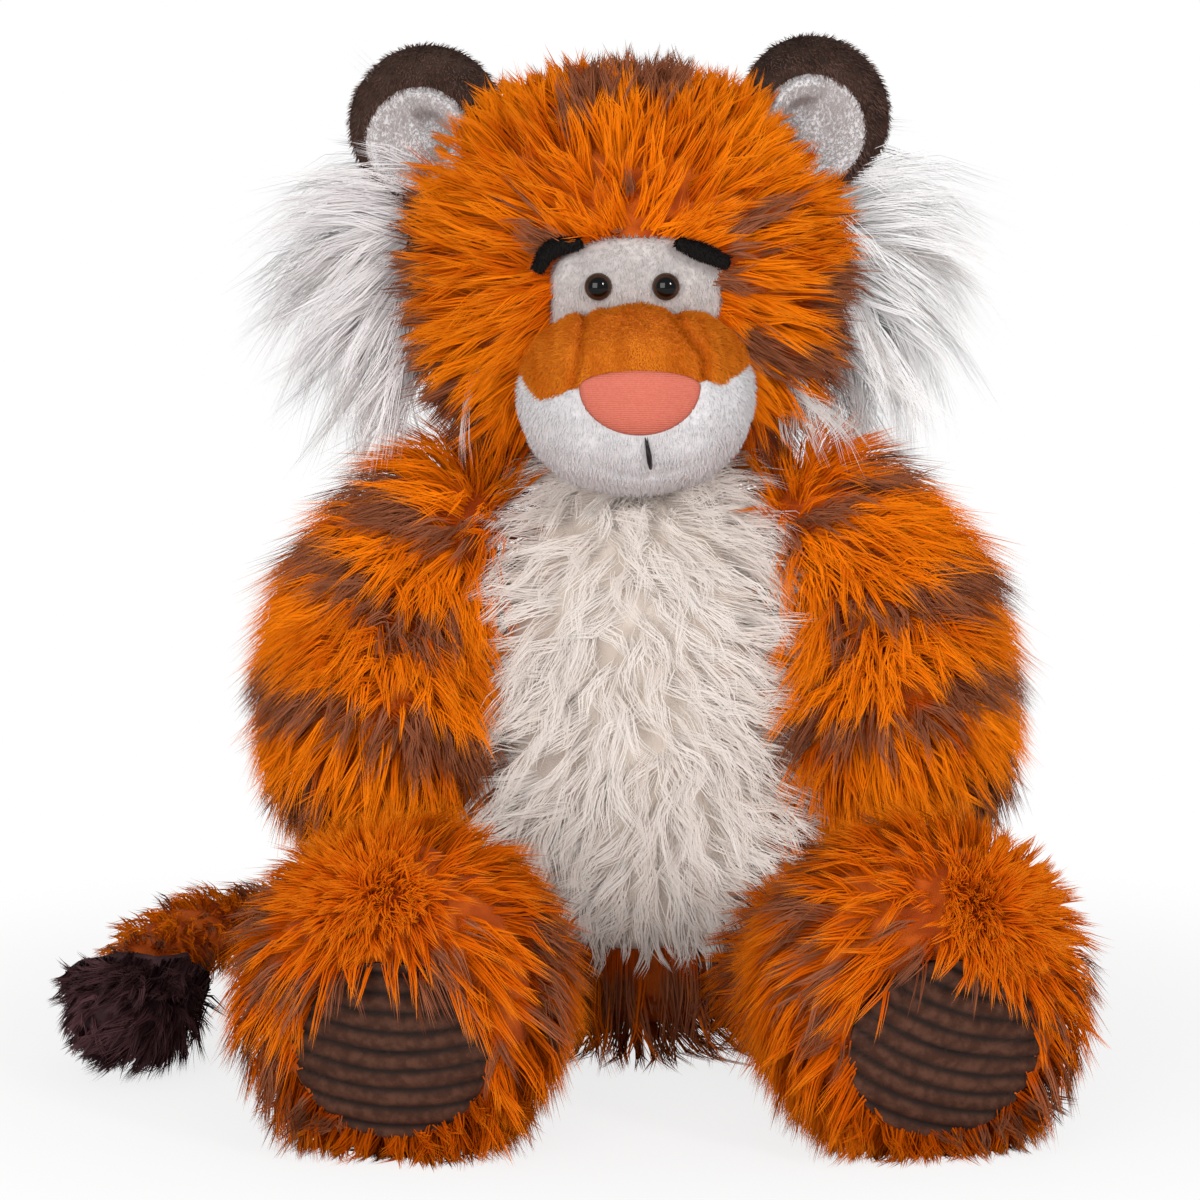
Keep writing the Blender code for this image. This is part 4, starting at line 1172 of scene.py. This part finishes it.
# Brows
# Two short rolls of black plush, sewn over the upper corners of the eye patch, which
# droop outwards.
BROW_RADIUS = 0.0031
BROW_HAIR = 0.0026
BROW_LINES = {
    "right": ((-0.0250, 0.3575), (-0.0330, 0.3572), (-0.0405, 0.3535), (-0.0432, 0.3462)),
    "left": ((0.0165, 0.3580), (0.0240, 0.3550), (0.0310, 0.3525), (0.0380, 0.3492)),
}
BLACK = (0.006, 0.005, 0.005)
black_plush = pile_finish(
    "black_plush", ((0.008, 0.007, 0.007), (0.022, 0.019, 0.018)), (0.03, 0.026, 0.025), (BLACK, BLACK), 0.8
)
black_backing = backing_finish("black_backing", BLACK, (0.014, 0.012, 0.012))
for side, line in BROW_LINES.items():
    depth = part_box(side + "_brow")[0][1] + 0.0030
    roll_points = [(x, depth + abs(x) * 0.10, z) for x, z in line]
    roll_radii = [BROW_RADIUS * share for share in (0.6, 1.0, 1.0, 0.7)]
    brow = tube(side + "_brow_roll", roll_points, roll_radii, 12)
    brow.data.materials.append(black_backing)
    short_pile(
        side + "_brow_pile", brow, black_plush, "head", "black_plush", 2600, falling,
        lambda places, normals: random.uniform(0.35, 0.95, len(places)), length=BROW_HAIR, keep=None,
    )
    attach(brow, "head")
    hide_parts(side + "_brow")

# Ears
# Two round ears of short dark plush over a little filling, rolled forwards at the rim
# and sewn into the head's seam with a pinch that folds the lining.
EAR_RADIUS = 0.0345
EAR_ROLL = 0.0095
EAR_BACK = 0.0050
EAR_HOLLOW = 0.0115
EAR_HAIR = 0.0036
EAR_RINGS = 18
EAR_SPOKES = 72
LINING_RADIUS = 0.0245
LINING_RINGS = 34
LINING_HAIR = 0.0018
EARS = {
    "right": {
        "middle": (-0.0942, 0.0120, 0.4085), "faces": (-0.137, -0.971, 0.194),
        "lining": (-0.0020, -0.0100), "fold": 30,
    },
    "left": {
        "middle": (0.0795, 0.0215, 0.4128), "faces": (0.236, -0.954, 0.183),
        "lining": (-0.0030, -0.0085), "fold": 150,
    },
}
# The lining's plush is painted greyer than the white plush: painted shade in the ear's hollow.
LINING_DARK = (0.42, 0.37, 0.36)
dark_plush = pile_finish(
    "dark_plush", ((0.052, 0.024, 0.018), (0.140, 0.076, 0.060)), (0.20, 0.12, 0.10),
    ((0.02, 0.012, 0.01),) * 2, 0.8,
)
shaded_lining_plush = pile_finish(
    "shaded_lining_plush", (LINING_DARK, (0.54, 0.48, 0.47)), (0.58, 0.52, 0.51), (LINING_DARK, LINING_DARK), 0.95
)
dark_backing = backing_finish("dark_backing", (0.022, 0.012, 0.009), (0.05, 0.028, 0.02))
ear_comb = one_way(0.15, -0.1, -1.0)
ear_tint = plain_tint(0.62, 0.2, 0.012, 101, 0.14)


def ear_front(across, up, lining):
    """How far the front of an ear stands out of its middle plane."""
    out = np.hypot(across, up) / EAR_RADIUS
    roll = EAR_ROLL * np.sqrt(np.clip(1 - out**3, 0, 1))
    inside = np.hypot(across - lining[0], up - lining[1]) / LINING_RADIUS
    hollow = EAR_HOLLOW * (1 - eased(inside, 0.25, 1.15)) * np.clip(3 - 3 * out, 0, 1)
    return float(roll - hollow)


def flat_disc(name, radius, rings, spokes, place_of):
    """A disc with closer rings at its rim. place_of takes places across and up on it."""

    def at(share, angle):
        reach = radius * math.sin(math.pi / 2 * share)
        return place_of(reach * math.cos(angle), reach * math.sin(angle))

    return disc(name, rings, spokes, at)


for side, form in EARS.items():
    faces = Vector(form["faces"]).normalized()
    sideways = Vector((0, 0, 1)).cross(faces).normalized()
    upwards = faces.cross(sideways)
    middle = Vector(form["middle"])
    lining = form["lining"]
    fold = math.radians(form["fold"])

    def ear_place(across, up, depth):
        return middle + sideways * across + upwards * up + faces * depth

    def front_place(across, up):
        reach = math.hypot(across - lining[0], up - lining[1]) / LINING_RADIUS
        under = 1 - float(eased(reach, 0.70, 0.98))
        return ear_place(across, up, ear_front(across, up, lining) - 0.006 * under)

    def back_place(across, up):
        out = math.hypot(across, up) / EAR_RADIUS
        return ear_place(-across, up, -EAR_BACK * math.sqrt(max(0, 1 - out**2)))

    def lining_place(across, up):
        """The lining follows the hollow, with a lip and a crease by the fold."""
        reach = math.hypot(across, up) / LINING_RADIUS
        near_fold = eased(math.cos(math.atan2(up, across) - fold), 0.05, 0.60)
        inside_lip = eased(reach, 0.52, 0.64)
        lip = 0.0050 * inside_lip * (1 - eased(reach, 0.80, 1.0)) * near_fold
        crease = 0.0046 * (1 - inside_lip) * eased(reach, 0.05, 0.50) * near_fold
        across, up = across + lining[0], up + lining[1]
        depth = ear_front(across, up, lining) + 0.0014 * (1 - reach**6) + lip - crease
        return ear_place(across, up, depth - 0.0004)

    def bare_of_lining(places, normals):
        offset = places - np.array(middle)
        across = offset @ np.array(sideways) - lining[0]
        up = offset @ np.array(upwards) - lining[1]
        return (np.hypot(across, up) > LINING_RADIUS * 0.97) | (offset @ np.array(faces) < -0.001)

    ear = flat_disc(side + "_ear_cloth", EAR_RADIUS, EAR_RINGS, EAR_SPOKES, front_place)
    behind = flat_disc(side + "_ear_back", EAR_RADIUS, EAR_RINGS, EAR_SPOKES, back_place)
    pick_only(ear, behind)
    bpy.ops.object.join()
    welded(ear, 0.0002, outwards=True)
    smoothed(ear)
    ear.data.materials.append(dark_backing)
    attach(ear, "head")
    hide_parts(side + "_ear")
    short_pile(
        side + "_ear_pile", ear, dark_plush, "head", "dark_plush", 10000, ear_comb, ear_tint,
        length=EAR_HAIR, keep=bare_of_lining,
    )

    lining_cloth = flat_disc(
        side + "_ear_lining_cloth", LINING_RADIUS, LINING_RINGS, EAR_SPOKES, lining_place
    )
    short_pile(
        side + "_ear_lining_pile", lining_cloth, shaded_lining_plush, "head", "short_white_plush", 6000,
        falling, white_tint, length=LINING_HAIR,
    )
    modified(lining_cloth, "SOLIDIFY", thickness=CLOTH_WALL)
    smoothed(lining_cloth)
    lining_cloth.data.materials.append(white_backing)
    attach(lining_cloth, "head")
    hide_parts(side + "_ear_lining")

# Ruffs
# A strip of long fine white hair is sewn into the seam behind each cheek. It sweeps
# out and down, with a few grey-brown streaks. Thin white wisps hang from the seam
# under each cheek, over the shoulder.
RUFF_HAIR = 0.069
WISP_HAIR = 0.060
STREAK_SHARE = 0.06  # of the locks are grey-brown
SIDES = (("right", -1), ("left", 1))
RUFF_LIGHT = (0.99, 0.97, 0.965)
GREY_BROWN = ((0.42, 0.36, 0.33), (0.58, 0.52, 0.50))
ruff_hair = pile_finish("ruff_hair", ((0.84, 0.77, 0.77), RUFF_LIGHT), RUFF_LIGHT, GREY_BROWN, 0.9, 0.5)
wisp_hair = pile_finish(
    "wisp_hair", ((0.74, 0.62, 0.58), (0.90, 0.84, 0.81)), (0.90, 0.82, 0.79), GREY_BROWN, 0.75, 0.6
)
ruff_backing = backing_finish("ruff_backing", (0.55, 0.52, 0.51), (0.72, 0.70, 0.70))


def ruff_tint(places, normals):
    """The right ruff and wisps get lower tints: painted shade on the side away from the window lamp."""
    middle = np.where(places[:, 0] < 0, 0.52, 0.90)
    own = np.clip(middle + random.normal(0, 0.15, len(places)), 0.34, 0.98)
    streak = random.random(len(places)) < STREAK_SHARE
    return np.where(streak, 0.2, own)


for side, sign in SIDES:
    ruff = sewn_skin(side + "_ruff_cloth", [side + "_ruff"], 0.004, 0.004, 0.002)
    ruff.data.materials.append(ruff_backing)
    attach(ruff, "head")
    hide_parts(side + "_ruff")

    def ruff_comb(places, normals):
        low = risen(places[:, 2], 0.372, -0.07)
        return np.stack([sign * (1.0 - 0.50 * low), np.full(len(places), -0.10), -0.05 - 1.10 * low], axis=1)

    pile(
        side + "_ruff_hair", ruff, ruff_hair, "head", "long_white_hair",
        340, 18, RUFF_HAIR, ruff_comb, ruff_tint, rise=24, lie=74, gather=0.45, half=0.00016,
        lock_half=0.0050, points=4, curl=0.06, droop=0.14, spread=16, lit_from=(0.0, -0.8, 0.7),
        keep=lambda places, normals: normals[:, 0] * sign > -0.35, uneven=0.34,
    )

    def wisp_roots(places, normals):
        out = places[:, 0] * sign
        return (places[:, 2] < 0.302) & (out > 0.058) & (np.abs(places[:, 1] + 0.030) < 0.024)

    pile(
        side + "_ruff_locks", head_skin, wisp_hair, "head", "long_white_hair",
        460, 15, WISP_HAIR, one_way(sign * 0.80, -0.75, -0.85), ruff_tint, rise=28, lie=54, gather=0.84,
        half=0.00019, lock_half=0.0034, points=5, curl=0.09, droop=0.20, spread=22, roundness=0.15,
        lit_from=(0.0, -0.6, 0.3), uneven=0.34, keep=wisp_roots,
    )

# Arms
# Two stuffed arms of the long pile hang from the shoulders, with brown stripes across
# them. They end round, with no hand.
ARM_PILE = 0.034
ARM_STRIPES = {
    "right": (
        ((-0.150, 0.254), (-0.136, 0.247), (-0.098, 0.234), (-0.080, 0.226)),
        ((-0.165, 0.226), (-0.150, 0.219), (-0.124, 0.202), (-0.084, 0.185)),
        ((-0.178, 0.160), (-0.146, 0.157), (-0.112, 0.148), (-0.084, 0.1386), (-0.0566, 0.1236)),
        ((-0.172, 0.114), (-0.1405, 0.1156)),
    ),
    "left": (
        ((0.140, 0.268), (0.100, 0.2453), (0.062, 0.2217)),
        ((0.172, 0.204), (0.1316, 0.2036), (0.1068, 0.1948), (0.090, 0.187)),
        ((0.176, 0.164), (0.138, 0.1617), (0.113, 0.1493), (0.0825, 0.1466), (0.049, 0.1316)),
        ((0.168, 0.126), (0.146, 0.109)),
    ),
}


def arm_length(places):
    """The pile is longest on the outer shoulder."""
    high = risen(places[:, 2], 0.17, 0.05)
    outer = risen(np.abs(places[:, 0]), 0.06, 0.05)
    return ARM_PILE + 0.004 * outer + 0.006 * high + 0.008 * high * outer


for side, sign in SIDES:
    arm = sewn_skin(
        side + "_arm_skin", [side + "_arm_cover", side + "_arm_stuffing"], TORSO_WEAVE, BACKING, 0.005
    )
    arm.data.materials.append(shaded_orange_backing)
    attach(arm, side + "_arm")
    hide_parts(side + "_arm_cover", side + "_arm_stuffing")

    def arm_comb(places, normals):
        """The pile runs out over the shoulder, and then down."""
        top = eased(places[:, 2], 0.185, 0.245)
        outer = np.clip((places[:, 0] * sign - 0.095) / 0.05, -0.6, 1)
        across = sign * (0.9 * top + (0.22 + 0.30 * outer) * (1 - top))
        return np.stack([across, np.full(len(places), -0.1), -1 + 0.65 * top], axis=1)

    def arm_tint(places, normals):
        across = places[:, 0] + 0.004 * ripple(places, 0.05, 111)
        up = places[:, 2] + 0.004 * ripple(places, 0.04, 112)
        half_width = 0.0078 + 0.0010 * ripple(places, 0.05, 113)
        brown = np.zeros(len(places))
        for line in ARM_STRIPES[side]:
            brown = np.maximum(brown, band(from_line(across, up, line), half_width))
        return with_stripes(places, 120, brown, brightest=1.0)

    def arm_lean(places):
        """Low inside, the left arm's pile leans over the belly."""
        inside = eased(places[:, 0] * sign, 0.090, 0.066) * eased(places[:, 2], 0.20, 0.17) * (sign > 0)
        return shoulder_lean(places) * (1 - 0.42 * inside)

    off_the_torso = free_of("torso_cover", "belly_panel")

    def off_the_body(places, normals):
        return off_the_torso(places, normals) | (normals[:, 1] < -0.35) | (normals[:, 2] > 0.5)

    pile(
        side + "_arm_pile", arm, striped_pile, side + "_arm", "striped_fur",
        3270, 7, arm_length, arm_comb, arm_tint,
        keep=off_the_body, rise=36, lie=78, lean=arm_lean, lit_from=(0.1, -0.9, 0.3),
    )

# Legs
# Two stuffed legs are sewn to the torso's sides and point forwards. Their feet stand
# up, and the pile parts at a whorl over each pad.
WHORL = {"right": (-0.1094, 0.1085), "left": (0.1408, 0.1010)}
LEG_PILE = 0.032
RIM_HAIR = 0.027
WHORL_HAIR = 0.021
LEG_THINNER = 0.45  # the share of locks left out on the leg behind its foot
FOOT_FRONT = -0.2  # what lies before this is the front of a foot
LEG_STRIPES = (-0.175, -0.120, -0.065, -0.015)
PAD_HALF_WIDTH = 0.0395
PAD_HALF_HEIGHT = 0.0365
PAD_RINGS = 54
PAD_SPOKES = 120
PAD_WALL = 0.008
RIB_PITCH = 0.0079
RIB_HEIGHT = 0.0022
RIB_BEND = 4.5  # how fast the ribs curve up towards the pad's sides
RIB_TURN = {"right": -2, "left": -18}
PAD_FACES = {"right": (0.14, 0.982, 0.127), "left": (-0.22, 0.968, 0.123)}
corduroy, corduroy_tree, corduroy_surface = new_finish("brown_corduroy", 0.9)
# The grooves between the ribs are painted near black from a shade stored at each vertex: painted shade, on
# top of the ribs' relief.
painted_rib_shade = add_node(corduroy_tree, "VertexColor", layer_name="painted_rib_shade").outputs["Color"]
nap = ramped(corduroy_tree, plain_noise(corduroy_tree, 220, 3.0), 0.35, 0.7, 0.0, 1.0)
worn = mixed(corduroy_tree, nap, (0.048, 0.016, 0.008), (0.094, 0.036, 0.020))
corduroy_colour = mixed(corduroy_tree, painted_rib_shade, (0.014, 0.007, 0.005), worn)
corduroy_tree.links.new(corduroy_colour, corduroy_surface.inputs["Base Color"])
fuzz = bumped(corduroy_tree, plain_noise(corduroy_tree, 1300, 3.0), 0.7, 0.0005)
corduroy_tree.links.new(fuzz, corduroy_surface.inputs["Normal"])

for side, sign in SIDES:
    leg = sewn_skin(
        side + "_leg_skin", [side + "_leg_cover", side + "_leg_stuffing", side + "_sole_pad"],
        TORSO_WEAVE, BACKING, 0.005,
    )
    leg.data.materials.append(shaded_orange_backing)
    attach(leg, side + "_leg")
    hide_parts(side + "_leg_cover", side + "_leg_stuffing")

    low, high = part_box(side + "_sole_pad")
    pad_middle = (Vector(low) + Vector(high)) / 2
    pad_out = -Vector(PAD_FACES[side]).normalized()
    pad_across = Vector((0, 0, 1)).cross(pad_out).normalized()
    pad_up = pad_out.cross(pad_across)
    seen_from = Vector((WHORL[side][0], -0.4, WHORL[side][1]))
    whorl = np.array(tree_of(leg.data).ray_cast(seen_from, Vector((0, 1, 0)))[0])

    def on_pad(places):
        """How far places are from the pad's middle, across it, up it and out of it."""
        offset = places - np.array(pad_middle)
        return [offset @ np.array(way) for way in (pad_across, pad_up, pad_out)]

    def from_whorl(places):
        return np.linalg.norm(places - whorl, axis=1)

    def leg_comb(places, normals):
        """The pile runs away from the whorl, and forwards low on the foot."""
        ahead = risen(places[:, 2], whorl[2], -0.08) * eased(places[:, 1], -0.16, -0.21)
        away = unit(places - whorl) + np.array([0.0, -0.9, -0.2]) * ahead[:, None]
        return away + np.array([0.0, 0.0, -0.2])

    def over_pad(places):
        """1 just over the pad, where the pile hangs down over its edge."""
        across, up, _ = on_pad(places)
        over = eased(up, 0.026, 0.034) * eased(up, 0.056, 0.044)
        return eased(np.abs(across), 0.044, 0.030) * over * (places[:, 1] < FOOT_FRONT)

    def leg_length(places):
        """The pile is shortest at the whorl and longest over the pad."""
        by_whorl = eased(from_whorl(places), 0.010, 0.045)
        outer = eased(places[:, 0] * sign, 0.140, 0.168)
        return LEG_PILE * (0.68 + 0.32 * by_whorl + 0.22 * over_pad(places)) * (1 - 0.16 * outer)

    def leg_lean(places):
        """The pile stands up at the whorl and under the pad."""
        under = eased(places[:, 2], 0.040, 0.020) * (places[:, 1] < FOOT_FRONT)
        by_whorl = eased(from_whorl(places), 0.004, 0.050)
        return (0.42 + 0.54 * by_whorl) * (1 - 0.35 * under) + 0.14 * over_pad(places)

    def leg_tint(places, normals):
        """Brown rings round the whorl and bands across the leg."""
        reach = from_whorl(places) + 0.006 * ripple(places, 0.05, 131)
        front = places[:, 1] < FOOT_FRONT
        brown = 0.9 * band(reach - 0.052, 0.006) * (places[:, 2] < whorl[2]) * front
        brown = np.maximum(brown, 0.8 * band(reach - 0.088, 0.007) * front)
        for middle in LEG_STRIPES:
            from_stripe = places[:, 1] - middle + 0.006 * ripple(places, 0.06, 132)
            brown = np.maximum(brown, band(from_stripe, 0.010))
        # The tints stop at 0.55, so the legs' orange is painted deeper than elsewhere: painted shade.
        return with_stripes(places, 140, brown, brightest=0.55)

    def off_pad(places, normals):
        across, up, _ = np.abs(on_pad(places))
        outline = (across / (PAD_HALF_WIDTH - 0.002)) ** 2.2 + (up / (PAD_HALF_HEIGHT - 0.002)) ** 2.2
        return (outline > 1) | (places[:, 1] > FOOT_FRONT)

    off_leg_seam = free_of("torso_cover", "belly_panel")
    pile(
        side + "_leg_pile", leg, striped_pile, side + "_leg", "striped_fur",
        3650, 7, leg_length, leg_comb, leg_tint, rise=26, lie=74, lean=leg_lean, lit_from=(0.0, -0.1, 0.05),
        keep=lambda places, normals: (
            off_pad(places, normals) & off_leg_seam(places, normals)
            & ((places[:, 1] < -0.15) | (random.random(len(places)) > LEG_THINNER))
        ),
    )

    def rim_comb(places, normals):
        return np.outer(on_pad(places)[0] * 8, pad_across) + np.array([0.0, -1.0, -0.2])

    def at_rim(places, normals):
        return (places[:, 2] < 0.026) & (places[:, 1] < -0.205) & off_pad(places, normals)

    pile(
        side + "_rim_pile", leg, striped_pile, side + "_leg", "striped_fur",
        9000, 8, RIM_HAIR, rim_comb, leg_tint, rise=18, lie=62, keep=at_rim, spread=30,
    )
    pile(
        side + "_whorl_pile", leg, striped_pile, side + "_leg", "striped_fur",
        13000, 9, WHORL_HAIR, leg_comb, leg_tint, rise=20, lie=52, lean=leg_lean, spread=30,
        keep=lambda places, normals: from_whorl(places) < 0.022,
    )

    # The leg's cloth is pressed in behind the pad, so that it doesn't show through it
    cloth = vertex_places(leg.data)
    across, up, out = on_pad(cloth)
    pressed = (1 - eased(np.hypot(across, up) / PAD_HALF_HEIGHT, 0.7, 1.05)) * (out > -0.02)
    move_vertices(leg.data, cloth - np.outer(pressed * 0.007, pad_out))

    def pad_place(across, up):
        dome = 0.0020 + 0.0035 * (1 - (math.hypot(across, up) / PAD_HALF_WIDTH) ** 2)
        up *= PAD_HALF_HEIGHT / PAD_HALF_WIDTH
        return pad_middle + pad_across * across + pad_up * up + pad_out * dome

    pad = flat_disc(side + "_pad_corduroy", PAD_HALF_WIDTH, PAD_RINGS, PAD_SPOKES, pad_place)
    modified(pad, "SOLIDIFY", thickness=PAD_WALL)
    raised = vertex_places(pad.data)
    across, up, _ = on_pad(raised)
    turn = math.radians(RIB_TURN[side])
    along_rib = across * math.cos(turn) + up * math.sin(turn)
    over_rib = up * math.cos(turn) - across * math.sin(turn) - RIB_BEND * along_rib**2
    rib = np.abs(np.sin(math.pi * over_rib / RIB_PITCH)) ** 0.7
    facing = np.clip(vertex_directions(pad.data) @ np.array(pad_out), 0, 1)
    raised += np.outer((rib - 1) * RIB_HEIGHT * facing, pad_out)
    raised += np.outer(0.0004 * ripple(raised, 0.02, 141) * facing, pad_out)
    move_vertices(pad.data, raised)
    # Painted shade: 0 deep between the ribs and 1 on their tops.
    shade = eased(rib, 0.15, 1.0)
    shades = np.stack([shade, shade, shade, np.ones(len(shade))], axis=1)
    painted_rib_shades = pad.data.color_attributes.new("painted_rib_shade", "FLOAT_COLOR", "POINT")
    painted_rib_shades.data.foreach_set("color", shades.astype(np.float32).ravel())
    smoothed(pad)
    pad.data.materials.append(corduroy)
    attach(pad, side + "_leg")
    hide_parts(side + "_sole_pad")

# Tail
# A stuffed tube of the striped pile comes round from the back of the seat and lies on
# the floor on the toy's right.
TAIL_BEND = (0.012, -0.078)
TAIL_REACH = (0.232, 0.170)
TAIL_ROOT = ("torso", "tail", (0.012, 0.092, 0.036), (-0.060, 0.092, 0.036))
tail = sewn_skin("tail_skin", ["tail_cover", "tail_stuffing"], 0.004, BACKING, 0.004)
tail.data.materials.append(shaded_orange_backing)
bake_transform(tail)
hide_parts("tail_cover", "tail_stuffing")


def round_tail(places):
    """The angle round the tail's bend, from its root to its brush."""
    across = (TAIL_BEND[0] - places[:, 0]) / TAIL_REACH[0]
    return np.arctan2(across, (places[:, 1] - TAIL_BEND[1]) / TAIL_REACH[1])


def tail_comb(places, normals):
    turn = round_tail(places)
    along = [-TAIL_REACH[0] * np.cos(turn), -TAIL_REACH[1] * np.sin(turn), np.zeros(len(places))]
    return unit(np.stack(along, axis=1)) + np.array([0.0, 0.0, -0.15])


def tail_length(places):
    """The pile is longer towards the brush."""
    return PILE_LENGTH * (0.60 + 0.16 * eased(places[:, 1], 0.10, 0.02))


def tail_tint(places, normals):
    turn = round_tail(places) + 0.04 * ripple(places, 0.05, 151)
    brown = band(((turn + 0.28) % 0.34) - 0.17, 0.045)
    return with_stripes(places, 150, brown)


pile(
    "tail_pile", tail, striped_pile, "tail", "striped_fur",
    1400, 5, tail_length, tail_comb, tail_tint,
    keep=free_of("torso_cover", "right_leg_cover"), bends=TAIL_ROOT,
)

# Tail brush
# The tail ends in a brush of longer dark plum hair, which lies on the floor and points
# forwards and outwards.
BRUSH_HAIR = 0.030
BRUSH_MIDDLE = np.array([-0.205, -0.06, 0.035])
plum_hair = pile_finish(
    "plum_hair", ((0.034, 0.014, 0.016), (0.125, 0.055, 0.060)), (0.16, 0.085, 0.092),
    ((0.01, 0.005, 0.006),) * 2, 0.7,
)
brush = sewn_skin("tail_brush", ["tail_tuft"], 0.005, 0.011, 0.002)
brush.data.materials.append(backing_finish("plum_backing", (0.036, 0.016, 0.018), (0.072, 0.032, 0.036)))
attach(brush, "tail")
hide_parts("tail_tuft")


def brush_comb(places, normals):
    return np.array([-0.45, -0.85, -0.30]) + unit(places - BRUSH_MIDDLE) * 0.25


def brush_length(places):
    """The hair is shorter at the brush's outer side."""
    return BRUSH_HAIR - 0.012 * risen(places[:, 0], -0.215, -0.02)


pile(
    "tail_brush_hair", brush, plum_hair, "tail", "plum_fur",
    1000, 7, brush_length, brush_comb, plain_tint(0.60, 0.2, 0.02, 161, 0.16),
    rise=44, lie=84, gather=0.7, keep=off_the_floor,
)

# Floor, light and background
# The toy sits on a seamless white sweep under one small bright lamp and a big soft
# one, as in a shop picture.
FLOOR_SIZE = 3.0
WORLD_LIGHT = 0.48
WHITE = (1, 1, 1)
bpy.ops.mesh.primitive_plane_add(size=FLOOR_SIZE)
floor = bpy.context.active_object
floor.name = "floor"
floor_finish, floor_tree, floor_surface = new_finish("floor_finish", 0.9)
floor_surface.inputs["Base Color"].default_value = (0.95, 0.95, 0.95, 1)
from_middle = add_node(floor_tree, "VectorMath", {0: object_place(floor_tree)}, operation="LENGTH")
whiter = ramped(floor_tree, from_middle.outputs["Value"], 0.20, 0.50, 0.80, 1.0)
seen = add_node(floor_tree, "LightPath").outputs["Is Camera Ray"]
whiter = add_node(floor_tree, "Math", {0: whiter, 1: seen}, operation="MULTIPLY").outputs[0]
glow = add_node(floor_tree, "Emission").outputs["Emission"]
glowing = {0: whiter, 1: floor_surface.outputs["BSDF"], 2: glow}
floor_mix = add_node(floor_tree, "MixShader", glowing).outputs["Shader"]
floor_tree.links.new(floor_mix, floor_tree.nodes["Material Output"].inputs["Surface"])
floor.data.materials.append(floor_finish)

world = bpy.data.worlds.new("world")
world.use_nodes = True
bpy.context.scene.world = world
sky_tree = world.node_tree
sky = sky_tree.nodes["Background"]
sky.inputs["Color"].default_value = (*WHITE, 1)
sky.inputs["Strength"].default_value = WORLD_LIGHT
backdrop = add_node(sky_tree, "Background", {"Color": WHITE, "Strength": 1.0}).outputs["Background"]
seen = add_node(sky_tree, "LightPath").outputs["Is Camera Ray"]
sky_ways = {0: seen, 1: sky.outputs["Background"], 2: backdrop}
sky_mix = add_node(sky_tree, "MixShader", sky_ways).outputs["Shader"]
sky_tree.links.new(sky_mix, sky_tree.nodes["World Output"].inputs["Surface"])


def soft_lamp(name, place, aim, width, height, power):
    lamp_data = bpy.data.lights.new(name, "AREA")
    lamp_data.shape = "RECTANGLE"
    lamp_data.size = width
    lamp_data.size_y = height
    lamp_data.energy = power
    lamp = placed(name, lamp_data)
    lamp.location = place
    lamp.rotation_euler = turned_to(place, aim)


soft_lamp("window", (2.2, -3.3, 1.7), (0, 0, 0.22), 0.5, 0.75, 62)
soft_lamp("bounce", (-1.5, -4.0, 1.0), (0, 0, 0.20), 2.4, 2.4, 96)
bpy.context.scene.view_settings.view_transform = "Standard"
